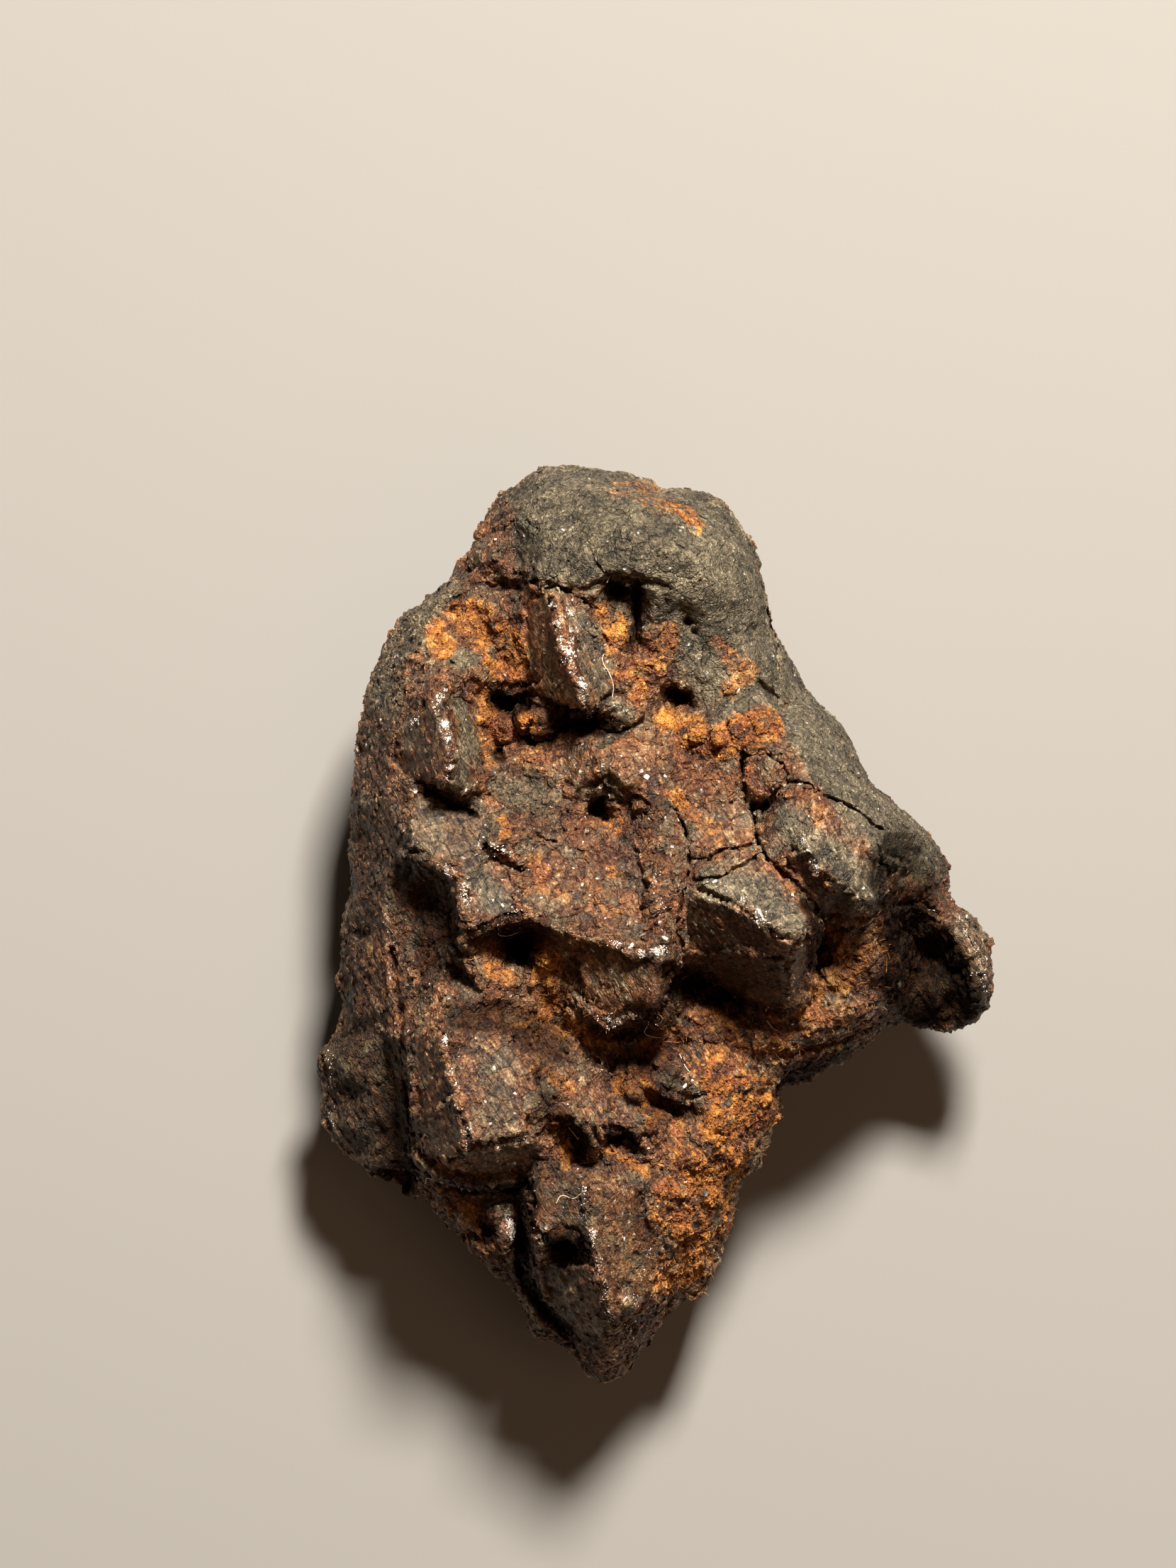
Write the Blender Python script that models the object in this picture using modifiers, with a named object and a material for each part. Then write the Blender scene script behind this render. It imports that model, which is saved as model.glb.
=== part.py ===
"""A weathered iron meteorite, one solid stone 38 mm long, lying on its flattest side.

The stone is built the way a surveyor draws a hill. A few dozen named lines follow its
crests and hollows, each point given as (x, y, height) in millimetres above the table,
and the rim is the outline seen from above. A triangle net stretched over those lines
gives the upper side, a second net gives the underside, and the two meet at the rim.
Caves are cut under the ledges, the whole is made one skin, roughened, and the spot that
it rests on is cut flat.
"""

import math

import bmesh
import bpy
import numpy as np
from mathutils import Matrix, Vector, noise
from mathutils.geometry import delaunay_2d_cdt

MM = 0.001

# Driving dimensions of the stone, in millimetres
LENGTH = 38.2
WIDTH = 28.0
THICKNESS = 17.4

# The survey was drawn at these sizes, and is stretched to the driving dimensions
SURVEY_LENGTH = 38.2
SURVEY_WIDTH = 28.0
SURVEY_THICKNESS = 17.4

SKIN_VOXEL = 0.28           # size of the cells that fuse the nets and caves into one skin
SOLID_TRIANGLES = 9600      # faces kept in the finished solid
NET_EPSILON = 1e-5

# The rim: the widest outline seen from above, clockwise from the top of the dome.
# Each stretch gives its heights at both ends, then its points
RIM = {
    "dome": (8.2, 7.2, [
        (-3.0, 19.1), (-2.3, 19.0), (-1.5, 18.9), (-0.4, 18.7), (0.1, 18.3), (0.6, 18.05),
        (1.2, 18.0), (1.8, 17.8), (2.3, 17.6), (3.1, 16.9), (3.6, 16.5), (4.1, 16.1),
        (4.4, 15.6), (4.65, 15.0), (4.9, 13.8), (5.0, 13.0), (5.1, 12.3), (5.35, 11.7),
    ]),
    "right flank": (7.2, 6.8, [
        (5.8, 10.8), (6.1, 10.2), (6.2, 9.8), (7.0, 9.1), (7.85, 8.2), (8.2, 7.7),
        (8.8, 6.6), (9.2, 6.0), (10.0, 5.3), (10.7, 4.6), (11.3, 3.8), (11.7, 3.3),
        (12.0, 2.8), (12.1, 2.2), (12.0, 1.5), (12.0, 1.0),
    ]),
    "arm": (6.8, 5.6, [
        (12.3, 0.6), (12.8, 0.3), (13.1, -0.1), (13.5, -0.7), (13.8, -1.4), (14.0, -2.0),
        (14.0, -2.7), (13.9, -3.3), (13.6, -3.7), (13.2, -4.1), (12.7, -4.4), (12.1, -4.5),
        (11.5, -4.25), (10.9, -4.1), (10.3, -4.0), (9.4, -4.3), (8.9, -4.9), (8.35, -5.4),
        (8.0, -5.8), (7.5, -6.0), (6.8, -6.3), (6.3, -6.6), (5.7, -6.8), (5.1, -6.55),
    ]),
    "fan edge": (6.4, 4.9, [
        (5.3, -7.1), (5.2, -8.0), (4.85, -8.5), (4.75, -9.0), (4.3, -10.0), (3.75, -10.5),
        (3.5, -11.0), (3.45, -11.5), (3.3, -12.5), (2.75, -13.5), (2.6, -14.0), (2.45, -14.5),
        (2.2, -15.1), (1.6, -15.65), (1.0, -15.8), (0.5, -16.5), (0.1, -17.0), (-0.6, -17.9),
        (-0.95, -18.4), (-1.4, -18.85), (-1.8, -19.05), (-2.3, -19.1), (-2.8, -18.8), (-3.1, -18.3),
    ]),
    "lower left": (4.6, 5.2, [
        (-3.6, -17.8), (-3.85, -17.45), (-4.7, -17.4), (-5.1, -17.1), (-5.35, -16.7),
        (-5.6, -16.2), (-5.75, -15.7), (-6.0, -15.2), (-6.5, -14.8), (-6.95, -14.5),
        (-7.2, -14.0), (-7.6, -13.7), (-7.9, -13.2), (-8.2, -12.8), (-9.2, -12.0), (-9.6, -11.5),
    ]),
    "lobe": (4.2, 5.8, [
        (-10.1, -11.6), (-10.9, -11.1), (-11.6, -10.7), (-12.3, -10.1), (-12.9, -9.55),
        (-13.4, -9.1), (-13.9, -8.0), (-13.7, -7.4), (-13.65, -6.7), (-13.9, -6.0),
        (-14.0, -5.1), (-13.4, -5.0), (-13.2, -4.3), (-12.9, -3.2), (-13.0, -2.9),
    ]),
    "left wall": (5.8, 8.0, [
        (-13.4, -2.4), (-13.1, -1.6), (-13.0, 0.0), (-12.65, 1.5), (-12.85, 3.0),
        (-12.65, 5.0), (-12.4, 7.4), (-12.1, 8.6), (-11.65, 10.4), (-11.3, 11.2),
        (-10.8, 12.0), (-10.2, 12.8), (-8.9, 14.3), (-8.2, 15.2), (-7.3, 16.5),
        (-6.8, 17.2), (-6.2, 17.9), (-5.5, 18.15), (-5.0, 18.6), (-4.4, 18.95), (-3.5, 19.1),
    ]),
}

# Lines on the upper side. A net edge follows each one, so crests and lips stay sharp
TOP_LINES = {
    "dome shoulder": [
        (-5.9, 17.1, 10.4), (-4.6, 17.8, 11.2), (-3.0, 18.0, 11.6), (-1.0, 17.7, 12.2),
        (1.0, 17.0, 12.2), (2.7, 16.0, 12.0), (3.7, 14.6, 11.6), (4.1, 13.0, 11.2),
    ],
    "dome brow": [
        (-4.9, 14.3, 12.7), (-4.2, 14.1, 13.4), (-3.1, 13.85, 13.5), (-2.5, 14.2, 13.8),
        (-1.7, 14.6, 14.1), (-0.6, 14.5, 14.2), (0.3, 14.1, 13.9), (1.2, 13.5, 13.5),
    ],
    "dome split": [(4.65, 13.3, 9.8), (4.85, 12.0, 9.2), (5.15, 11.0, 9.0)],
    "shoulder pit": [(-6.0, 16.2, 10.2), (-5.6, 15.2, 10.9)],
    "shoulder lip": [(-7.0, 14.6, 10.0), (-6.4, 14.75, 11.0), (-5.7, 14.6, 11.3)],
    "shoulder foot": [(-6.9, 14.15, 9.8), (-6.2, 14.2, 10.1), (-5.6, 14.0, 10.7)],
    "wedge foot left": [
        (-5.2, 13.6, 11.6), (-5.6, 12.8, 11.2), (-5.5, 11.8, 11.0), (-5.25, 10.7, 10.7),
    ],
    "wedge crest": [
        (-4.4, 13.8, 12.9), (-4.15, 12.8, 13.6), (-3.75, 11.5, 14.2), (-3.3, 10.2, 14.4),
        (-2.85, 9.35, 14.3),
    ],
    "wedge spur": [(-3.5, 13.3, 13.3), (-3.25, 12.3, 13.9), (-3.45, 11.6, 14.2)],
    "wedge lip": [
        (-4.8, 9.75, 11.2), (-4.1, 9.2, 12.4), (-3.3, 8.95, 13.5), (-2.6, 8.85, 13.8),
        (-1.95, 9.3, 13.0),
    ],
    "wedge foot right": [(-2.7, 12.8, 12.7), (-2.3, 11.7, 12.9), (-1.8, 10.6, 12.9)],
    "crevice floor": [
        (-4.3, 8.85, 9.4), (-3.4, 8.55, 8.6), (-2.4, 8.4, 8.4), (-1.9, 8.2, 9.2),
    ],
    "crevice lower lip": [
        (-4.2, 8.05, 10.8), (-3.2, 8.1, 11.8), (-2.2, 7.95, 12.2), (-1.5, 7.85, 12.2),
    ],
    "rust hollow": [
        (-8.2, 12.9, 9.8), (-7.3, 12.4, 9.9), (-6.7, 11.6, 10.0), (-6.3, 10.8, 10.0),
    ],
    "rust hollow lip": [
        (-9.9, 11.1, 10.2), (-9.2, 10.85, 11.2), (-8.3, 10.75, 11.8), (-7.6, 10.5, 11.6),
    ],
    "left hole lip": [(-6.8, 10.1, 10.6), (-6.0, 9.85, 10.4), (-5.2, 10.0, 10.3)],
    "left hole": [(-6.4, 9.4, 8.2), (-5.9, 9.2, 7.8), (-5.4, 9.3, 8.4)],
    "small lump": [(-5.8, 8.55, 10.6), (-5.1, 8.75, 11.3), (-4.5, 8.6, 11.4)],
    "lump shadow": [(-5.4, 7.8, 9.4), (-4.7, 7.9, 9.0), (-4.0, 8.2, 9.4)],
    "upper hole lip": [(-2.0, 14.2, 13.3), (-1.6, 14.3, 13.5), (-0.75, 14.15, 13.5)],
    "upper hole": [(-1.8, 13.95, 11.0), (-1.45, 13.9, 10.8)],
    "dark gully": [(-0.75, 13.75, 11.2), (-0.85, 12.9, 11.5), (-0.9, 12.0, 11.2), (-1.1, 11.5, 11.7)],
    "gully bank": [(-0.25, 13.6, 13.4), (-0.2, 12.8, 13.0), (-0.2, 12.0, 12.8), (-0.3, 11.2, 12.6)],
    "gully left bank": [(-1.4, 13.3, 12.4), (-1.35, 12.6, 12.4), (-1.5, 12.0, 12.5)],
    "scar": [(1.15, 12.85, 12.7), (1.55, 12.15, 12.4)],
    "middle hole lip": [(0.3, 9.95, 11.9), (0.9, 10.0, 12.2), (1.6, 9.75, 12.1)],
    "middle hole": [(0.7, 9.6, 9.6), (1.25, 9.5, 9.5)],
    "grey lump": [(-1.85, 8.75, 11.8), (-1.5, 9.2, 12.5), (-0.9, 9.1, 12.6), (-0.6, 8.6, 11.9)],
    "left ridge": [
        (-8.6, 9.95, 12.6), (-9.0, 9.25, 13.2), (-8.7, 8.3, 13.8), (-8.4, 7.4, 14.2),
        (-8.35, 6.7, 14.2), (-8.7, 6.0, 13.7),
    ],
    "left slit lip": [
        (-9.8, 6.1, 12.0), (-9.2, 5.98, 12.7), (-8.55, 5.6, 12.7), (-7.9, 5.2, 12.0),
        (-7.4, 4.95, 11.7),
    ],
    "left slit": [
        (-9.65, 5.8, 10.8), (-9.1, 5.55, 9.9), (-8.6, 5.2, 9.9), (-8.0, 4.85, 10.8),
    ],
    "left slit foot": [(-9.8, 5.4, 11.7), (-8.9, 4.95, 12.0), (-7.9, 4.55, 11.9)],
    "rust bank": [(-7.5, 9.4, 10.9), (-7.3, 8.2, 10.6), (-7.1, 7.1, 10.9)],
    "plateau edge": [
        (-10.2, 3.2, 12.0), (-9.6, 2.9, 12.9), (-8.7, 2.4, 13.3), (-8.0, 2.0, 13.4),
        (-7.75, 1.2, 13.7), (-7.7, 0.5, 13.9), (-7.75, -0.3, 13.7),
    ],
    "plateau foot": [
        (-9.9, 2.1, 11.3), (-8.9, 1.5, 11.4), (-8.3, 0.7, 11.6), (-8.25, -0.4, 11.5),
    ],
    "flake lip": [(-7.0, 3.3, 12.9), (-6.4, 3.2, 13.2), (-5.9, 2.75, 13.1), (-5.6, 2.4, 12.8)],
    "flake slit": [(-6.8, 3.0, 11.8), (-6.2, 2.75, 11.5)],
    "facet edge": [
        (-7.0, 0.0, 13.7), (-6.4, 0.35, 13.8), (-5.7, 0.65, 13.8),
    ],
    "arch": [
        (-5.0, 0.5, 13.7), (-4.2, 0.15, 13.8), (-3.2, -0.15, 14.0), (-2.3, -0.45, 14.3),
        (-1.4, -0.9, 14.8), (-0.7, -1.15, 15.0),
    ],
    "arch hole": [(-6.0, -0.8, 9.6), (-5.5, -0.8, 9.2), (-5.35, -1.2, 9.6)],
    "arch foot": [(-4.3, -0.75, 12.0), (-3.4, -1.4, 12.0), (-2.9, -2.2, 11.8)],
    "middle crest": [
        (0.55, 4.3, 13.2), (0.25, 3.2, 13.8), (0.1, 2.0, 14.1), (0.05, 0.9, 14.4),
        (0.4, -0.1, 14.6), (0.3, -1.2, 14.8),
    ],
    "beak left": [(-2.9, -3.0, 12.3), (-2.3, -3.55, 12.9), (-1.8, -3.95, 12.9)],
    "beak right": [(-1.1, -3.3, 13.2), (-0.5, -3.35, 13.3), (0.1, -3.75, 12.8)],
    "beak foot": [
        (-3.2, -3.8, 10.9), (-2.3, -4.5, 10.5), (-1.2, -4.3, 10.2), (0.2, -4.5, 10.1),
        (0.85, -3.4, 9.9), (0.85, -2.3, 10.0),
    ],
    "beak flank": [(0.15, -2.9, 13.5), (0.55, -1.9, 13.2)],
    "split left": [(1.35, 3.0, 13.4), (1.45, 2.1, 13.8), (1.15, 1.1, 13.9), (0.95, 0.0, 13.7)],
    "block crest": [
        (2.2, 1.8, 14.7), (3.1, 1.25, 15.4), (4.0, 0.7, 16.0), (4.45, 0.1, 16.2),
        (5.1, -0.2, 16.1), (5.8, -0.4, 15.8),
    ],
    "block back": [(1.9, 2.15, 14.3), (3.1, 2.55, 14.6), (4.4, 2.85, 14.6)],
    "block right edge": [(4.8, 2.4, 14.9), (5.6, 1.6, 15.3), (6.1, 0.8, 15.5), (6.3, 0.0, 15.4)],
    "block brow": [
        (1.3, -0.9, 13.0), (2.2, -1.2, 12.7), (3.1, -0.95, 13.9), (4.3, -0.9, 15.0),
        (5.3, -1.05, 14.9),
    ],
    "block corner": [(5.45, -2.3, 13.2), (5.45, -3.3, 12.0)],
    "block foot": [(1.5, -2.0, 10.0), (2.6, -2.6, 9.9), (3.7, -3.4, 10.0), (4.6, -3.8, 10.4), (5.4, -3.9, 10.6)],
    "block side": [(6.15, -0.9, 13.4), (6.1, -2.1, 11.9), (6.1, -3.2, 11.0)],
    "split right": [(5.2, 2.6, 14.4), (6.0, 1.9, 14.2), (6.45, 1.0, 13.2), (6.7, 0.3, 12.2)],
    "nose crest": [
        (4.9, 4.3, 14.9), (5.6, 3.8, 15.4), (6.2, 3.3, 15.8), (6.75, 2.6, 16.0),
        (7.4, 2.15, 15.9), (8.2, 1.7, 15.4), (8.75, 1.2, 14.4),
    ],
    "nose belly": [(6.55, 2.1, 14.7), (7.1, 1.5, 14.2), (7.9, 1.15, 14.0)],
    "nose foot": [(7.2, 0.5, 12.4), (7.9, 0.25, 12.2), (8.8, 0.5, 12.0)],
    "nose back": [(5.2, 5.4, 14.4), (6.1, 5.7, 14.4), (7.6, 5.0, 14.2), (8.6, 4.5, 13.7), (9.4, 3.9, 13.0)],
    "gap hole": [(6.9, -0.4, 9.8), (6.5, -1.4, 8.9)],
    "right break": [(9.1, 2.4, 13.2), (9.3, 1.6, 12.2), (9.4, 0.9, 11.2)],
    "right pits": [(9.8, 2.2, 10.8), (10.6, 2.4, 9.8), (11.0, 3.3, 9.4)],
    "flank edge": [
        (5.7, 8.8, 11.0), (6.6, 8.0, 11.4), (7.5, 6.9, 11.6), (8.3, 5.9, 11.7),
        (9.4, 5.0, 11.3), (10.4, 3.9, 10.4),
    ],
    "crater": [(5.15, 9.5, 9.6), (5.4, 8.95, 9.2)],
    "chunk": [(4.2, 6.9, 13.5), (5.0, 6.45, 14.0), (5.0, 5.85, 13.9), (4.2, 5.55, 13.7)],
    "chunk pit": [(3.8, 5.2, 12.6), (4.3, 4.9, 12.2), (4.75, 5.15, 12.8)],
    "rust clump": [(1.6, 7.7, 12.4), (2.5, 7.6, 13.1), (3.5, 7.9, 13.2), (4.5, 8.3, 13.0)],
    "tile edge": [(1.5, 3.15, 13.2), (2.2, 3.25, 13.6), (3.0, 3.5, 13.8), (3.9, 3.85, 13.8)],
    "pit rim": [(-2.9, 5.2, 12.0), (-2.3, 5.5, 12.5), (-1.7, 5.2, 12.3)],
    "pit": [(-2.45, 4.95, 9.6), (-2.05, 4.85, 9.4)],
    "spall lip": [(-2.0, 6.35, 13.3), (-1.45, 5.95, 13.3), (-0.9, 5.4, 13.1), (-0.3, 5.05, 12.9)],
    "spall foot": [(-2.0, 5.9, 12.1), (-1.4, 5.55, 11.9), (-0.8, 4.95, 12.0)],
    "arm crest": [
        (10.0, 0.9, 10.0), (11.0, 1.3, 9.4), (11.7, 0.9, 9.0), (12.2, 0.0, 9.0),
        (12.9, -0.9, 8.9), (13.3, -2.0, 8.7), (13.2, -3.0, 8.2),
    ],
    "arm hollow": [(10.5, -0.1, 8.0), (11.0, -1.0, 7.0), (11.8, -1.4, 7.0)],
    "arm lower crest": [(10.4, -2.7, 7.4), (11.2, -2.6, 7.2), (12.1, -2.4, 7.5), (12.8, -2.3, 7.9)],
    "slope ledge": [
        (5.2, -5.3, 9.8), (5.9, -5.15, 9.9), (6.9, -4.9, 9.7), (7.8, -4.6, 9.3), (8.6, -4.35, 8.7),
    ],
    "slope ledge foot": [(5.7, -6.0, 7.4), (6.8, -5.7, 7.4), (7.9, -5.3, 7.2)],
    "slope scoop": [(6.9, -2.5, 10.3), (7.7, -2.6, 10.4), (8.4, -3.0, 10.1)],
    "fan crest": [(2.2, -6.0, 10.7), (2.1, -7.0, 10.9), (2.3, -8.2, 10.8), (1.8, -9.4, 10.9)],
    "gully": [(4.9, -6.3, 9.2), (3.7, -5.2, 10.0), (2.2, -4.8, 10.0), (0.7, -5.2, 9.8), (-0.6, -5.7, 9.9)],
    "shelf lip": [(-1.6, -6.6, 10.9), (-0.7, -6.35, 11.5), (0.3, -6.5, 11.5), (0.9, -6.9, 11.0), (1.6, -7.2, 10.5)],
    "shelf hollow": [(-0.2, -7.5, 9.7), (0.6, -7.55, 9.6), (1.4, -7.7, 9.9)],
    "slit lip": [(-2.0, -8.35, 11.9), (-1.4, -8.25, 12.2), (-0.8, -8.4, 12.1), (-0.4, -8.8, 11.9), (0.0, -9.15, 11.6)],
    "slit": [(-1.8, -8.7, 9.8), (-1.3, -8.7, 9.4), (-0.8, -8.8, 9.8)],
    "slit foot": [(-1.9, -9.3, 11.0), (-1.1, -9.25, 11.1), (-0.4, -9.5, 11.3)],
    "flake top": [(-1.6, -7.3, 11.4), (-1.0, -7.6, 12.1), (-0.3, -8.0, 12.1)],
    "bay lip": [(-4.2, -7.55, 12.7), (-3.4, -7.65, 12.9), (-2.8, -8.1, 12.7), (-2.45, -9.0, 12.0)],
    "bay floor": [(-3.7, -8.3, 10.2), (-3.3, -9.0, 9.9), (-2.8, -9.7, 9.9)],
    "bay left": [(-4.35, -8.3, 12.0), (-4.3, -9.4, 11.7), (-4.0, -10.3, 11.6)],
    "facet ridge": [
        (-8.6, -3.9, 13.0), (-8.4, -4.7, 13.4), (-8.4, -5.6, 13.6), (-8.1, -7.0, 13.9),
        (-7.85, -8.0, 13.8), (-7.6, -8.9, 13.3),
    ],
    "facet lip": [(-6.9, -8.95, 13.2), (-6.1, -8.75, 13.2), (-5.4, -8.75, 12.6), (-5.0, -8.0, 12.6)],
    "facet scarp foot": [(-7.8, -9.9, 11.0), (-6.9, -9.8, 11.0), (-5.9, -9.75, 10.9), (-5.2, -9.4, 11.0)],
    "lower lip": [
        (-9.7, -9.5, 9.8), (-8.9, -10.1, 10.4), (-7.9, -10.45, 10.7), (-6.8, -10.5, 10.6),
        (-5.9, -10.4, 10.3),
    ],
    "lower lip foot": [(-8.8, -10.8, 8.8), (-7.8, -10.95, 8.8), (-6.6, -11.0, 8.9)],
    "slot": [
        (-5.5, -10.6, 9.2), (-5.35, -11.6, 8.2), (-5.4, -12.8, 7.7), (-5.5, -13.8, 7.3),
        (-5.3, -14.8, 6.9), (-4.8, -15.8, 6.4), (-4.2, -16.6, 6.0), (-3.8, -17.2, 5.4),
    ],
    "plate lip": [
        (-4.9, -10.5, 11.5), (-5.0, -11.4, 11.9), (-5.05, -12.2, 12.0), (-4.65, -12.85, 12.0),
        (-4.3, -12.65, 12.2), (-3.8, -12.5, 12.3), (-3.3, -12.6, 12.3), (-2.95, -12.95, 12.2),
    ],
    "plate hole": [(-4.3, -13.15, 9.2), (-3.8, -13.1, 8.8), (-3.3, -13.3, 9.0)],
    "plate hole foot": [(-4.5, -13.7, 9.8), (-3.7, -13.8, 10.2), (-3.0, -14.0, 10.6)],
    "spine": [
        (-2.9, -10.6, 12.5), (-2.8, -11.7, 12.7), (-2.65, -12.6, 12.6), (-2.45, -13.5, 12.3),
        (-2.3, -14.2, 11.9), (-2.0, -15.3, 10.9), (-1.85, -16.5, 9.5), (-1.9, -17.6, 7.9),
        (-2.2, -18.5, 6.2),
    ],
    "slot right bank": [(-4.8, -13.9, 9.6), (-4.6, -14.9, 9.1), (-4.1, -15.7, 8.5), (-3.5, -16.6, 7.4)],
    "tip lobe": [(-5.2, -15.6, 6.9), (-4.8, -16.6, 6.6), (-4.3, -17.0, 5.8)],
    "knob": [(-6.4, -11.9, 9.4), (-6.2, -12.8, 9.5), (-6.1, -13.6, 8.8)],
    "knob hollow": [(-7.1, -12.2, 8.2), (-6.9, -12.8, 8.0)],
    "wall crest": [
        (-10.9, 2.4, 10.4), (-11.1, 1.0, 9.8), (-11.0, -0.6, 9.6), (-10.9, -2.0, 9.8),
        (-10.5, -3.4, 10.2),
    ],
    "lobe step": [(-10.2, -4.6, 11.4), (-10.1, -6.2, 11.3), (-9.95, -7.8, 10.8)],
    "lobe step foot": [(-10.8, -5.0, 8.6), (-10.6, -6.6, 8.2), (-10.4, -8.2, 7.8), (-10.3, -9.4, 7.4)],
    "lobe lip": [(-10.3, -9.9, 6.6), (-10.9, -9.75, 7.0), (-11.6, -9.9, 6.8)],
    "lobe cave": [(-10.2, -10.7, 4.0), (-10.8, -10.5, 4.2), (-11.3, -10.4, 4.6)],
    "tooth": [(-8.2, -0.95, 12.2), (-7.6, -1.25, 12.8), (-7.2, -1.8, 12.9), (-7.1, -2.35, 12.8)],
    "tooth shadow": [(-8.3, -1.7, 11.2), (-7.8, -2.0, 10.8)],
    "shard": [(-8.7, -2.5, 12.0), (-8.3, -3.15, 12.7), (-7.4, -2.95, 12.8), (-6.7, -2.75, 12.6)],
}

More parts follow.
